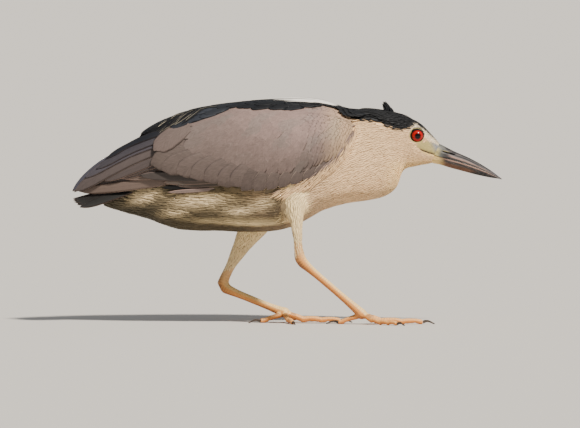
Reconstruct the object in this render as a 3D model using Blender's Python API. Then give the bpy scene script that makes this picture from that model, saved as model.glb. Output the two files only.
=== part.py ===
"""Black-crowned night heron, life size, stalking with its neck folded and its bill low.

The bird faces +X with its right side towards -Y, and both feet stand on Z = 0. The origin is the middle of
its footprint box, on the floor. Sizes below are in millimetres and become metres when a mesh is made.
"""

import math

import bmesh
import bpy
from mathutils import Matrix, Vector

MM = 0.001
GAP = 0.3  # air between two pieces that meet
LAYER_GAP = 0.6  # air between the coverts and the flight feathers under them
HALF_LENGTH = 219.5  # from the origin to the bill's tip, and to the tail's
BODY_SIDES = 22
WING_SIDES = 7  # points across a wing, on each of its two faces
LEG_SIDES = 10
TOE_SIDES = 7

# Sections of the body from the vent forwards: top point (x, z), bottom point (x, z), half width, how much
# narrower the top is than the bottom, and the roundness, where 2 is an ellipse.
BODY = {
    "undertail_tip": (-189, 134, -189, 119, 6.0, 0.0, 2.0),
    "undertail": (-166, 158, -166, 112, 17.0, 0.0, 2.1),
    "vent": (-140, 190, -140, 104.5, 27.0, -0.04, 2.2),
    "rump": (-110, 209, -110, 93.8, 36.5, -0.08, 2.2),
    "flank": (-70, 218.5, -70, 92.6, 45.0, -0.08, 2.2),
    "belly": (-25, 224.5, -25, 91.4, 50.0, -0.08, 2.2),
    "breast": (8, 225, 8, 97.2, 50.5, -0.08, 2.2),
    "shoulder": (36, 222.5, 36, 113.5, 47.0, -0.10, 2.2),
    "neck_root": (62, 217.4, 62, 121, 39.5, -0.14, 2.2),
    "neck": (85, 216.8, 85, 124.4, 32.5, -0.16, 2.2),
    "fold": (100, 215.6, 101, 128.8, 28.0, -0.18, 2.2),
    "nape": (110, 214, 112, 137.4, 24.0, -0.16, 2.2),
    "throat": (118.5, 212.4, 116.2, 149.0, 21.0, -0.08, 2.2),
    "jaw": (127.5, 209.4, 119.6, 156.4, 19.0, 0.0, 2.2),
    "eye": (137.5, 203.6, 126.5, 158.6, 16.6, 0.02, 2.2),
    "lore": (147.2, 193.4, 137.2, 160.9, 12.4, 0.0, 2.1),
    "bill_base": (156, 183, 148, 163, 8.4, 0.0, 2.1),
}
TRUNK = {"ends": ("undertail_tip", "neck_root"), "steps": 16}
NECK = {"ends": ("neck_root", "throat"), "steps": 9}
HEAD = {"ends": ("throat", "bill_base"), "steps": 12}

# The bill in its own frame: distance from its base, then the heights of the culmen, the gape and the chin
# over the bill's axis, and the half width.
BILL_BASE = Vector((152, 0, 173))
BILL_DROOP = math.radians(21.8)
BILL = (
    (0, 10.6, -1.8, -10.2, 8.2),
    (8, 9.9, -0.8, -8.8, 7.2),
    (16, 9.2, 0.2, -8.2, 6.4),
    (33, 8.6, 1.8, -6.2, 5.0),
    (50, 6.5, 2.1, -4.0, 3.6),
    (62, 4.0, 1.4, -1.7, 2.4),
    (69, 2.0, 0.9, 0.0, 1.3),
    (72.75, 0.95, 0.8, 0.5, 0.35),
)
BILL_SIDES = 7  # points over each half of the bill
NOSTRIL = {"along": 14.5, "up": 4.6, "length": 10.0, "height": 1.5, "tilt": math.radians(-6)}

EYE = {"centre": (132.2, 10.6, 192.2), "radius": 7.3}

# The closed wings' outer line: x, top, bottom and half width of the shape that they wrap, tail end first.
WING_LINE = (
    (-219.5, 138.5, 128.5, 5.0),
    (-212, 145.6, 121, 8.0),
    (-200, 157, 112, 13.5),
    (-180, 173, 108, 21.0),
    (-160, 184.5, 106, 27.5),
    (-139, 200, 103, 33.5),
    (-105, 213.5, 95, 40.5),
    (-70, 221, 93, 46.0),
    (-25, 226, 92.5, 51.5),
    (8, 226.4, 98.5, 52.0),
    (36, 223.5, 113.5, 48.0),
    (62, 217.4, 121, 40.0),
    (72, 216.8, 123, 36.5),
)
WING_ROUNDNESS = 2.2
# Coverts with the folded arm under them: x, upper edge, lower edge and thickness.
COVERTS = (
    (-139.5, 181, 163, 1.2),
    (-133, 190, 156, 2.6),
    (-115, 200, 150, 3.6),
    (-85, 206, 144.5, 4.2),
    (-60, 214, 142, 4.6),
    (-45, 217.6, 137.2, 5.0),
    (-25, 217.6, 137.6, 5.4),
    (10, 215.5, 143, 6.2),
    (38, 214.5, 151.5, 6.8),
    (54, 211.5, 163, 6.4),
    (64, 207, 177, 4.6),
    (70, 202, 187, 1.4),
)
# The black shield of mantle and scapulars between the coverts: x, its edge on either side and thickness.
MANTLE = (
    (-152, 188.5, 0.8),
    (-139, 193, 1.6),
    (-115, 202.5, 2.4),
    (-85, 208.5, 2.6),
    (-60, 216, 2.4),
    (-25, 219.6, 2.2),
    (10, 218, 2.4),
    (38, 217, 2.6),
    (50, 214.5, 1.8),
    (58, 213, 0.8),
)
# Folded flight feathers, under the coverts and behind them.
FLIGHT = (
    (-219.5, 138.2, 131.2, 1.0),
    (-212, 145.2, 130.4, 1.6),
    (-200, 156.5, 130.6, 2.0),
    (-180, 172.4, 132.8, 2.2),
    (-160, 183.8, 135.2, 2.4),
    (-139, 199.2, 135.8, 2.6),
    (-105, 206, 134.4, 2.6),
    (-70, 206, 134.8, 2.4),
    (-52, 196, 140, 1.2),
)
FAR_WING_LIFT = 4.5  # the left wing's flight feathers bulge this much higher than the right one's
WING_CUT = 25.0  # how far the wings' cutters reach out past the body
EDGE_TURN = 0.012  # and past a wing's two edges, in radians

# Tail feathers, closed to a shallow roof: x, ridge, drop to the edges, half width and thickness.
TAIL = (
    (-118, 153, 5, 12, 3.4),
    (-140, 147.5, 7, 17, 3.2),
    (-165, 140.5, 10, 21.5, 2.8),
    (-190, 133.5, 12.5, 23.5, 2.2),
    (-208, 129.2, 12.5, 22, 1.8),
    (-216, 127.4, 9, 16, 1.5),
    (-219.5, 126.6, 3.5, 8, 1.2),
)
TAIL_SIDES = 7

# Each leg from inside the body to the foot's knuckle: point, then half size fore and aft and across.
LEGS = {
    "right": {
        "side": -1,
        "path": (
            ((3, -33, 158), 19.0, 11.0),
            ((6.5, -38.5, 137), 14.5, 12.0),
            ((9, -39, 114), 10.5, 9.5),
            ((10.5, -38, 92), 6.0, 6.4),
            ((11.6, -36.5, 78), 4.8, 4.8),
            ((13.5, -35, 66.5), 6.6, 5.2),
            ((20, -33.6, 59.5), 5.4, 4.7),
            ((31, -31.2, 50), 4.0, 3.9),
            ((54, -26.2, 30), 3.7, 3.6),
            ((70, -22.8, 16), 4.6, 4.6),
            ((76, -21.5, 10.4), 5.4, 5.6),
        ),
        "toes": {
            "middle": {"turn": 2, "length": 62, "radius": 3.9, "bones": 3, "claw": 12},
            "inner": {"turn": 40, "length": 42, "radius": 3.5, "bones": 2, "claw": 11},
            "outer": {"turn": -38, "length": 45, "radius": 3.5, "bones": 4, "claw": 9.5},
            "hind": {"turn": 170, "length": 24, "radius": 3.6, "bones": 1, "claw": 12.5},
        },
    },
    "left": {
        "side": 1,
        "path": (
            ((-14, 30, 132), 22.0, 11.0),
            ((-32, 38, 102), 17.0, 11.5),
            ((-45, 41, 80), 10.5, 8.6),
            ((-56, 41.5, 60.5), 6.6, 6.2),
            ((-62.5, 40.5, 48), 5.4, 4.9),
            ((-66.2, 39, 36.8), 6.8, 5.3),
            ((-58, 36, 31.6), 5.4, 4.7),
            ((-46, 31.6, 26.8), 4.1, 4.0),
            ((-22, 22.4, 17.4), 3.8, 3.7),
            ((-9, 17.4, 12.4), 4.6, 4.6),
            ((-2.5, 14.5, 10.2), 5.4, 5.6),
        ),
        "toes": {
            "middle": {"turn": -3, "length": 57, "radius": 3.9, "bones": 3, "claw": 12},
            "inner": {"turn": -78, "length": 40, "radius": 3.5, "bones": 2, "claw": 11},
            "outer": {"turn": 34, "length": 45, "radius": 3.5, "bones": 4, "claw": 9.5},
            "hind": {"turn": 198, "length": 26, "radius": 3.6, "bones": 1, "claw": 12.5},
        },
    },
}
THIGH_ENDS = 4  # the path's points that are feathered thigh
SHANK_ENDS = 6  # and the one where the shank parts from the tarsus, under the ankle
KNUCKLE_REACH = 12.5  # how far the foot's knuckle runs out into each toe
PAD_SINK = 0.7  # how far a toe's pads are pressed flat against the floor
TOE_ARCH = 2.2

PLUMES = {
    "nape_plume_near": {"y": -2.6, "length": 106, "rise": 1.8, "radius": 0.85},
    "nape_plume_far": {"y": 2.4, "length": 88, "rise": 1.0, "radius": 0.75},
}
PLUME_ROOT = (82, 218.2)
MANTLE_DEPTH = 2.7  # the deepest that the mantle is, under the plumes
CREST = {"foot": (104, 0, 215.4), "tip": (99.5, 0, 228.6), "length": 8.5, "thickness": 3.0}

COLOURS = {
    "cream_feather": ((0.62, 0.50, 0.37), 0.85),
    "black_feather": ((0.025, 0.030, 0.040), 0.55),
    "grey_feather": ((0.30, 0.25, 0.235), 0.75),
    "white_feather": ((0.82, 0.80, 0.74), 0.80),
    "bill_horn": ((0.060, 0.055, 0.055), 0.35),
    "leg_scale": ((0.62, 0.36, 0.13), 0.55),
    "claw_horn": ((0.10, 0.08, 0.06), 0.35),
    "eye_red": ((0.55, 0.010, 0.008), 0.08),
}


def material(slot):
    """The plain finish of one kind of surface, made once."""
    made = bpy.data.materials.get(slot)
    if made is None:
        made = bpy.data.materials.new(slot)
        made.use_nodes = True
        colour, roughness = COLOURS[slot]
        shader = made.node_tree.nodes["Principled BSDF"]
        shader.inputs["Base Color"].default_value = (*colour, 1)
        shader.inputs["Roughness"].default_value = roughness
        shader.inputs["Metallic"].default_value = 0.0
    return made


def new_object(name, bm, slot, smooth=True):
    """Puts a finished bmesh in the scene as one named piece, scaled from millimetres to metres."""
    bmesh.ops.scale(bm, vec=(MM, MM, MM), verts=bm.verts)
    mesh = bpy.data.meshes.new(name)
    bm.to_mesh(mesh)
    bm.free()
    piece = bpy.data.objects.new(name, mesh)
    parts.objects.link(piece)
    mesh.materials.append(material(slot))
    if smooth:
        mesh.shade_smooth()
        mesh.set_sharp_from_angle(angle=math.radians(50))
    return piece


def blend(a, b, share):
    return a + (b - a) * share


def between(rows, at):
    """The row at a place along the table, where 1.5 is half way from the second row to the third.

    A Catmull-Rom curve runs through every column.
    """
    last = len(rows) - 1
    i = min(int(at), last - 1)
    t = at - i
    four = [rows[max(i - 1, 0)], rows[i], rows[i + 1], rows[min(i + 2, last)]]
    return tuple(
        0.5 * (2 * b + (c - a) * t + (2 * a - 5 * b + 4 * c - d) * t**2 + (3 * b - a - 3 * c + d) * t**3)
        for a, b, c, d in zip(*four)
    )


def row_at(rows, x):
    """The row of a table whose first column is x, with the other columns smooth between."""
    low, high = 0.0, float(len(rows) - 1)
    for _ in range(40):
        middle = (low + high) / 2
        if between(rows, middle)[0] < x:
            low = middle
        else:
            high = middle
    return between(rows, low)


def signed_power(value, power):
    return math.copysign(abs(value) ** power, value)


def loft(rings):
    """A closed skin over rings of equal counts, with a fan of faces at each end."""
    bm = bmesh.new()
    loops = [[bm.verts.new(p) for p in ring] for ring in rings]
    count = len(rings[0])
    for near, far in zip(loops, loops[1:]):
        for i in range(count):
            j = (i + 1) % count
            bm.faces.new((near[i], near[j], far[j], far[i]))
    bm.faces.new(list(reversed(loops[0])))
    bm.faces.new(loops[-1])
    bmesh.ops.recalc_face_normals(bm, faces=bm.faces)
    bmesh.ops.triangulate(bm, faces=bm.faces, quad_method="FIXED")
    return bm


def flatten_on_floor(bm):
    """Cuts away what lies under the floor, which leaves small flats on the pads."""
    geometry = bm.verts[:] + bm.edges[:] + bm.faces[:]
    cut = bmesh.ops.bisect_plane(
        bm, geom=geometry, dist=1e-5, plane_co=(0, 0, 0), plane_no=(0, 0, -1), clear_outer=True
    )
    rims = [e for e in cut["geom_cut"] if isinstance(e, bmesh.types.BMEdge)]
    bmesh.ops.holes_fill(bm, edges=rims, sides=0)
    bmesh.ops.recalc_face_normals(bm, faces=bm.faces)


def apply_boolean(piece, cutter, operation="DIFFERENCE"):
    """Cuts or joins with another object, keeps the result as the piece's own mesh, and drops the other."""
    modifier = piece.modifiers.new(operation.lower(), "BOOLEAN")
    modifier.operation = operation
    modifier.solver = "EXACT"
    modifier.object = cutter
    graph = bpy.context.evaluated_depsgraph_get()
    result = bpy.data.meshes.new_from_object(piece.evaluated_get(graph))
    piece.modifiers.clear()
    piece.data = result
    bpy.data.objects.remove(cutter)


def keep_largest(piece):
    """Drops the crumbs that a cut leaves, such as a sliver outside the wing."""
    bm = bmesh.new()
    bm.from_mesh(piece.data)
    unseen = set(bm.faces)
    islands = []
    while unseen:
        stack = [unseen.pop()]
        island = set(stack)
        while stack:
            for edge in stack.pop().edges:
                for face in edge.link_faces:
                    if face in unseen:
                        unseen.remove(face)
                        island.add(face)
                        stack.append(face)
        islands.append(island)
    islands.sort(key=lambda faces: sum(f.calc_area() for f in faces))
    crumbs = [f for island in islands[:-1] for f in island]
    bmesh.ops.delete(bm, geom=crumbs, context="FACES")
    bm.to_mesh(piece.data)
    bm.free()


# ---- body, neck and head ----


def body_ring(row, grow=0.0):
    """One section of the body, a rounded egg between its top and its bottom point."""
    top = Vector((row[0], 0, row[1]))
    bottom = Vector((row[2], 0, row[3]))
    middle, half = (top + bottom) / 2, (top - bottom) / 2
    half += half.normalized() * grow
    ring = []
    for i in range(BODY_SIDES):
        turn = 2 * math.pi * (i + 0.5) / BODY_SIDES
        up = signed_power(math.sin(turn), 2 / row[6])
        out = signed_power(math.cos(turn), 2 / row[6]) * (1 + row[5] * up)
        ring.append(middle + half * up + Vector((0, (row[4] + grow) * out, 0)))
    return ring


def body_length(length, grow=0.0, first_gap=0.0):
    """The rings from one named section to another, the first one moved on by a gap."""
    rows, names, steps = list(BODY.values()), list(BODY), length["steps"]
    start, end = (names.index(name) for name in length["ends"])
    spacing = (rows[start + 1][0] + rows[start + 1][2] - rows[start][0] - rows[start][2]) / 2
    start += first_gap / spacing
    places = [start + (end - start) * i / steps for i in range(steps + 1)]
    return [body_ring(between(rows, place), grow) for place in places]


def make_body():
    trunk = new_object("trunk", loft(body_length(TRUNK)), "cream_feather")
    neck = new_object("neck", loft(body_length(NECK, first_gap=GAP)), "cream_feather")
    head = new_object("head", loft(body_length(HEAD, first_gap=GAP)), "cream_feather")
    return trunk, neck, head


# ---- eyes and bill ----


def eyeball(name, side, grow=0.0):
    x, y, z = EYE["centre"]
    bm = bmesh.new()
    bmesh.ops.create_uvsphere(bm, u_segments=12, v_segments=8, radius=EYE["radius"] + grow)
    bmesh.ops.rotate(bm, verts=bm.verts, matrix=Matrix.Rotation(math.radians(90), 3, "X"))
    bmesh.ops.translate(bm, verts=bm.verts, vec=(x, side * y, z))
    return new_object(name, bm, "eye_red")


def make_eyes(head):
    for name, side in (("eye_right", -1), ("eye_left", 1)):
        apply_boolean(head, eyeball("socket", side, grow=GAP))
        eyeball(name, side)


def bill_point(along, up, y=0.0):
    """A point given in the bill's own frame."""
    return BILL_BASE + Vector(
        (
            along * math.cos(BILL_DROOP) + up * math.sin(BILL_DROOP),
            y,
            up * math.cos(BILL_DROOP) - along * math.sin(BILL_DROOP),
        )
    )


def bill_half(name, upper):
    """The upper or the lower mandible: a ridge over a flat that faces the other half."""
    rings = []
    stations = 13
    for i in range(stations):
        share = (i / (stations - 1)) ** 0.85
        along, culmen, gape, chin, half_width = between(BILL, share * (len(BILL) - 1))
        flat = gape + (GAP / 2 if upper else -GAP / 2)
        reach = max(culmen - flat, 0.12) if upper else min(chin - flat, -0.12)
        ring = []
        for k in range(BILL_SIDES + 1):
            turn = math.pi * k / BILL_SIDES
            ridge = math.sin(turn) ** (0.86 if upper else 0.95)
            side = math.copysign(abs(math.cos(turn)) ** 0.9, math.cos(turn))
            ring.append(bill_point(along + GAP * (i == 0), flat + reach * ridge, half_width * side))
        rings.append(ring)
    return new_object(name, loft(rings), "bill_horn")


def make_bill():
    upper = bill_half("bill_upper", True)
    bill_half("bill_lower", False)
    row = row_at(BILL, NOSTRIL["along"])
    for side in (-1, 1):
        bm = bmesh.new()
        bmesh.ops.create_uvsphere(bm, u_segments=8, v_segments=6, radius=0.5)
        bmesh.ops.scale(bm, vec=(NOSTRIL["length"], 2.6, NOSTRIL["height"]), verts=bm.verts)
        tilt = Matrix.Rotation(BILL_DROOP + NOSTRIL["tilt"], 3, "Y")
        bmesh.ops.rotate(bm, verts=bm.verts, matrix=tilt)
        place = bill_point(NOSTRIL["along"], NOSTRIL["up"], side * row[4] * 0.86)
        bmesh.ops.translate(bm, verts=bm.verts, vec=place)
        apply_boolean(upper, new_object("nostril", bm, "bill_horn"))


# ---- wings ----


def wing_point(line, turn, out):
    """A point of the closed wing's outer shape, moved out from it along its own slope."""
    x, top, bottom, half_width = line
    middle, half = (top + bottom) / 2, (top - bottom) / 2
    up = signed_power(math.sin(turn), 2 / WING_ROUNDNESS)
    side = signed_power(math.cos(turn), 2 / WING_ROUNDNESS)
    power = WING_ROUNDNESS - 1
    slope = Vector((0, signed_power(side, power) / half_width, signed_power(up, power) / half)).normalized()
    return Vector((x, half_width * side, middle + half * up)) + slope * out


def turn_at_height(line, z):
    """The turn at which the wing's outer shape reaches a height."""
    _, top, bottom, _ = line
    up = (z - (top + bottom) / 2) / ((top - bottom) / 2)
    return math.asin(signed_power(max(-1, min(1, up)), WING_ROUNDNESS / 2))


def layer_edges(turns, thick, inner_out, cut):
    """The outer and inner points' turns and offsets of one section of a sheet of feathers."""
    last = len(turns) - 1
    swell = [0.35 + 0.65 * math.sin(math.pi * k / last) ** 0.6 for k in range(last + 1)]
    if cut:
        step = math.copysign(EDGE_TURN, turns[0] - turns[-1])
        turns = [turns[0] + step, *turns, turns[-1] - step]
        return [(t, WING_CUT) for t in turns] + [(t, inner_out - GAP) for t in reversed(turns)]
    return [(t, thick * s + inner_out) for t, s in zip(turns, swell)] + [
        (t, inner_out) for t in reversed(turns)
    ]


def feather_layer(name, table, side, slot, inner_out, lift=0.0, cut=False, stations=14):
    """A sheet of feathers that wraps the body from one edge to the other.

    A table with one edge column goes over the back, from that height on the right to the same on the left.
    As a cutter the sheet is thicker by a gap inside, reaches well out and runs on a gap past its ends.
    """
    rings = []
    for i in range(stations):
        x, *edges, thick = between(table, i * (len(table) - 1) / (stations - 1))
        line = row_at(WING_LINE, x)
        start = turn_at_height(line, edges[0])
        end = turn_at_height(line, edges[1]) if len(edges) > 1 else math.pi - start
        turns = [blend(start, end, k / (WING_SIDES - 1)) for k in range(WING_SIDES)]
        shift = Vector((0, 0, lift * math.exp(-(((x + 182) / 15) ** 2))))
        points = [wing_point(line, t, out) for t, out in layer_edges(turns, thick, inner_out, cut)]
        rings.append([Vector((p.x, p.y * side, p.z)) + shift for p in points])
    if cut:
        ahead = Vector((GAP, 0, 0))
        rings = [[p - ahead for p in rings[0]], *rings, [p + ahead for p in rings[-1]]]
    return new_object(name, loft(rings), slot)


def make_wings(trunk, neck):
    """Each wing is a coverts piece over a flight piece, and the mantle lies between the wings.

    The body is cut back where they lie on it.
    """
    mantle = dict(table=MANTLE, side=-1, slot="black_feather", inner_out=LAYER_GAP, stations=13)
    for hand, side in (("right", -1), ("left", 1)):
        coverts = dict(table=COVERTS, side=side, slot="grey_feather", inner_out=LAYER_GAP)
        flight = dict(table=FLIGHT, side=side, slot="grey_feather", inner_out=-2.6)
        flight["lift"] = FAR_WING_LIFT if hand == "left" else 0.0
        apply_boolean(trunk, feather_layer("cutter", cut=True, **coverts))
        apply_boolean(neck, feather_layer("cutter", cut=True, **coverts))
        apply_boolean(trunk, feather_layer("cutter", cut=True, **flight))
        feather_layer(f"wing_{hand}", **coverts)
        feather_layer(f"flight_{hand}", **flight)
    apply_boolean(trunk, feather_layer("cutter", cut=True, **mantle))
    feather_layer("mantle", **mantle)


# ---- tail ----


def tail_solid(name, grow=0.0):
    rings = []
    stations = 10
    for i in range(stations):
        x, ridge, drop, half_width, thick = between(TAIL, i * (len(TAIL) - 1) / (stations - 1))
        half = 1 + grow / half_width
        across = [blend(-half, half, k / (TAIL_SIDES - 1)) for k in range(TAIL_SIDES)]
        over = [(x, s * half_width, ridge - drop * s * s + 1.5 * grow) for s in across]
        under = [(x, s * half_width, ridge - drop * s * s - thick - 1.5 * grow) for s in reversed(across)]
        rings.append([Vector(p) for p in over + under])
    rings[0] = [p + Vector((grow, 0, 0)) for p in rings[0]]
    rings[-1] = [p - Vector((grow, 0, 0)) for p in rings[-1]]
    return new_object(name, loft(rings), "grey_feather")


def make_tail(trunk):
    apply_boolean(trunk, tail_solid("cutter", grow=GAP))
    tail_solid("tail")


# ---- legs and feet ----


def tube_rings(path, sides, start, end, steps, start_gap=0.0):
    """Rings square to a path of (point, half size fore and aft, half size across)."""
    flat = [(*point, fore, across) for point, fore, across in path]
    rings = []
    for i in range(steps + 1):
        place = start + (end - start) * i / steps
        x, y, z, fore, across = between(flat, place)
        ahead = Vector(between(flat, min(place + 0.02, len(flat) - 1))[:3])
        behind = Vector(between(flat, max(place - 0.02, 0))[:3])
        along = (ahead - behind).normalized()
        outward = Vector((0, 1, 0))
        outward = (outward - along * outward.dot(along)).normalized()
        front = outward.cross(along)
        centre = Vector((x, y, z)) + along * (start_gap if i == 0 else 0)
        ring = []
        for k in range(sides):
            turn = 2 * math.pi * k / sides
            ring.append(centre + front * (fore * math.cos(turn)) + outward * (across * math.sin(turn)))
        rings.append(ring)
    return rings


def square_off(ring, point, heading):
    """Moves a ring along a heading into the plane through a point, square to that heading."""
    return [p - heading * (p - point).dot(heading) for p in ring]


def toe_path(knuckle, turn, length, radius, bones):
    """A toe's middle line and its size: pads under each joint press on the floor, and it arches between."""
    heading = Vector((math.cos(math.radians(turn)), math.sin(math.radians(turn)), 0))
    path = []
    steps = 14
    for i in range(steps + 1):
        share = i / steps
        taper = blend(radius, radius * 0.72, share)
        joint = math.cos(math.pi * share * bones) ** 2
        size = taper * (0.86 + 0.14 * joint)
        rest = size - PAD_SINK * joint + TOE_ARCH * (1 - joint) * (1 - 0.5 * share)
        fall = max(0.0, 1 - share * length / (KNUCKLE_REACH * 1.7)) ** 1.6
        point = knuckle + heading * (length * share)
        point.z = blend(rest, knuckle.z, fall)
        path.append((tuple(point), size, size * 1.04))
    return path


def claw_solid(name, toe_end, turn, length, radius):
    """A curved, tapering claw whose tip comes down to the floor."""
    heading = Vector((math.cos(math.radians(turn)), math.sin(math.radians(turn)), 0))
    path = []
    steps = 5
    for i in range(steps + 1):
        share = i / steps
        size = blend(radius, 0.55, share**0.8)
        point = toe_end + heading * (length * share)
        point.z = blend(toe_end.z + 1.6 * math.sin(math.pi * share), size - 0.35, share**2)
        path.append((tuple(point), size, size * 0.8))
    rings = tube_rings(path, 6, 0, steps, steps)
    rings[0] = square_off(rings[0], toe_end, heading)
    bm = loft(rings)
    flatten_on_floor(bm)
    return new_object(name, bm, "claw_horn")


def make_toes(hand, leg):
    """The four toes with their claws. It returns the knuckle's stubs, which the tarsus takes in."""
    knuckle = Vector(leg["path"][-1][0])
    stubs = []
    for toe, size in leg["toes"].items():
        path = toe_path(knuckle, size["turn"], size["length"], size["radius"], size["bones"])
        last = len(path) - 1
        leave = KNUCKLE_REACH / size["length"] * last
        stub = loft(tube_rings(path, TOE_SIDES, 0, leave, 2))
        flatten_on_floor(stub)
        stubs.append(new_object(f"stub_{hand}_{toe}", stub, "leg_scale"))
        end = Vector(path[-1][0])
        heading = Vector((end.x - knuckle.x, end.y - knuckle.y, 0)).normalized()
        rings = tube_rings(path, TOE_SIDES, leave, last, 1 + 2 * size["bones"], start_gap=GAP)
        rings[-1] = square_off(rings[-1], end, heading)
        rest = loft(rings)
        flatten_on_floor(rest)
        new_object(f"toe_{hand}_{toe}", rest, "leg_scale")
        start = end + heading * GAP
        claw_solid(f"claw_{hand}_{toe}", start, size["turn"], size["claw"], path[-1][1] * 0.62)
    return stubs


def make_leg(hand, leg, trunk_cutters):
    path = leg["path"]
    thigh = new_object(
        f"thigh_{hand}", loft(tube_rings(path, 16, 0, THIGH_ENDS - 1, 7)), "cream_feather"
    )
    for cutter in trunk_cutters(leg["side"]):
        apply_boolean(thigh, cutter)
    keep_largest(thigh)
    shank = tube_rings(path, LEG_SIDES, THIGH_ENDS - 1, SHANK_ENDS, 5, start_gap=GAP)
    new_object(f"shank_{hand}", loft(shank), "leg_scale")
    tarsus_rings = tube_rings(path, LEG_SIDES, SHANK_ENDS, len(path) - 1, 7, start_gap=GAP)
    tarsus = new_object(f"tarsus_{hand}", loft(tarsus_rings), "leg_scale")
    bm = bmesh.new()
    bmesh.ops.create_uvsphere(bm, u_segments=8, v_segments=5, radius=path[-1][2])
    bmesh.ops.translate(bm, verts=bm.verts, vec=path[-1][0])
    apply_boolean(tarsus, new_object("knuckle", bm, "leg_scale"), "UNION")
    for stub in make_toes(hand, leg):
        apply_boolean(tarsus, stub, "UNION")


def thigh_cutters(side):
    """What a thigh has to stay clear of: the trunk, and the wing's two layers."""
    yield new_object("cutter", loft(body_length(TRUNK, grow=GAP)), "cream_feather")
    yield feather_layer("cutter", COVERTS, side, "grey_feather", LAYER_GAP, cut=True)


# ---- plumes and crest ----


def make_plume(name, size):
    """A long white nape feather that lies back along the mantle and lifts clear of it in a low arc."""
    x_root, z_root = PLUME_ROOT
    path = []
    steps = 9
    for i in range(steps + 1):
        share = i / steps
        x = x_root - size["length"] * share
        line = row_at(WING_LINE, min(x, 72))
        back = line[1] + LAYER_GAP + MANTLE_DEPTH
        arc = math.sin(math.pi * share) ** 0.8
        z = blend(z_root, back + 1.0, min(1, share * 6)) + size["rise"] * arc
        radius = size["radius"] * (1 - 0.45 * share)
        path.append(((x, size["y"] * (1 - 0.4 * share), z), radius * 0.7, radius * 1.3))
    return new_object(name, loft(tube_rings(path, 5, 0, steps, steps)), "white_feather")


def make_crest():
    """A small tuft of crown feathers that stands up behind the head."""
    foot, tip = Vector(CREST["foot"]), Vector(CREST["tip"])
    path = []
    steps = 5
    for i in range(steps + 1):
        share = i / steps
        point = foot.lerp(tip, share)
        size = 1 - share * 0.88
        path.append((tuple(point), CREST["length"] / 2 * size, CREST["thickness"] / 2 * size))
    crest = new_object("crest", loft(tube_rings(path, 6, 0, steps, steps)), "black_feather")
    apply_boolean(crest, new_object("cutter", loft(body_length(NECK, grow=GAP)), "cream_feather"))


def main():
    trunk, neck, head = make_body()
    make_eyes(head)
    make_bill()
    make_wings(trunk, neck)
    make_tail(trunk)
    keep_largest(trunk)
    keep_largest(neck)
    for hand, leg in LEGS.items():
        make_leg(hand, leg, thigh_cutters)
    for name, size in PLUMES.items():
        make_plume(name, size)
    make_crest()


for old in list(bpy.data.objects):
    bpy.data.objects.remove(old)
parts = bpy.data.collections.new("night_heron")
bpy.context.scene.collection.children.link(parts)
main()
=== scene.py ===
import itertools
import math

import bmesh
import bpy
import numpy as np
from mathutils import Matrix, Vector
from mathutils.bvhtree import BVHTree


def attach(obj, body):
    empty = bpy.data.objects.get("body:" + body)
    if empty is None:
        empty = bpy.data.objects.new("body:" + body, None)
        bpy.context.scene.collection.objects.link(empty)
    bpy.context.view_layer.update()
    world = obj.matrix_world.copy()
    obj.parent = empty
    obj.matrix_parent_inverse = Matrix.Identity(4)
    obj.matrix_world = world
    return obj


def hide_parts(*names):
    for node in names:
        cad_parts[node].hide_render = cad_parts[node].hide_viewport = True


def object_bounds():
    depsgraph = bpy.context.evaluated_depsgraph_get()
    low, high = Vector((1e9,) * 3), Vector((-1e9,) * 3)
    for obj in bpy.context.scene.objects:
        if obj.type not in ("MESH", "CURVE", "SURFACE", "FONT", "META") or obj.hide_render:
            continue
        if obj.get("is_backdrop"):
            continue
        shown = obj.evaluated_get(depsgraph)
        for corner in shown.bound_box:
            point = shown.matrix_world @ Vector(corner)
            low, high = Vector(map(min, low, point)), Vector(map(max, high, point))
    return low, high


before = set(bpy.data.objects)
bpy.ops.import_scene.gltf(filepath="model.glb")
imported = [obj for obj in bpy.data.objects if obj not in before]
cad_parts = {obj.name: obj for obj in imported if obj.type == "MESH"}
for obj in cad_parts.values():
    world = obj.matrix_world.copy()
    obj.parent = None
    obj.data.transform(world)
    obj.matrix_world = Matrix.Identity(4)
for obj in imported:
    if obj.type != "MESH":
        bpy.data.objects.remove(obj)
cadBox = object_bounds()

# Black-crowned night heron, life size. It walks towards +X, and its right side faces -Y.
# Sizes and places are in millimetres until a mesh is made.
mm = 0.001
touching = 1e-6  # points nearer than this, in metres, are merged
scene = bpy.context.scene
sides = ((-1, "right"), (1, "left"))


class Wire:  # one socket of a material, so that shader maths reads as plain arithmetic
    def __init__(self, look, socket):
        self.look, self.socket = look, socket

    def math(self, operation, *values):
        return self.look.add("ShaderNodeMath", {"operation": operation}, *values)

    def __add__(self, other):
        return self.math("ADD", self, other)

    def __sub__(self, other):
        return self.math("SUBTRACT", self, other)

    def __rsub__(self, other):
        return self.math("SUBTRACT", other, self)

    def __mul__(self, other):
        return self.math("MULTIPLY", self, other)

    def __truediv__(self, other):
        return self.math("DIVIDE", self, other)

    def __pow__(self, other):
        return self.math("POWER", self, other)

    def __abs__(self):
        return self.math("ABSOLUTE", self)

    __radd__ = __add__
    __rmul__ = __mul__

    def sine(self):
        return self.math("SINE", self)

    def atMost(self, other):
        return self.math("MINIMUM", self, other)

    def atLeast(self, other):
        return self.math("MAXIMUM", self, other)

    def ramp(self, low, high):  # 0 below low, 1 above high, smooth between
        settings = {"interpolation_type": "SMOOTHSTEP", "clamp": True}
        return self.look.add("ShaderNodeMapRange", settings, self, low, high, 0.0, 1.0)


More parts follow.
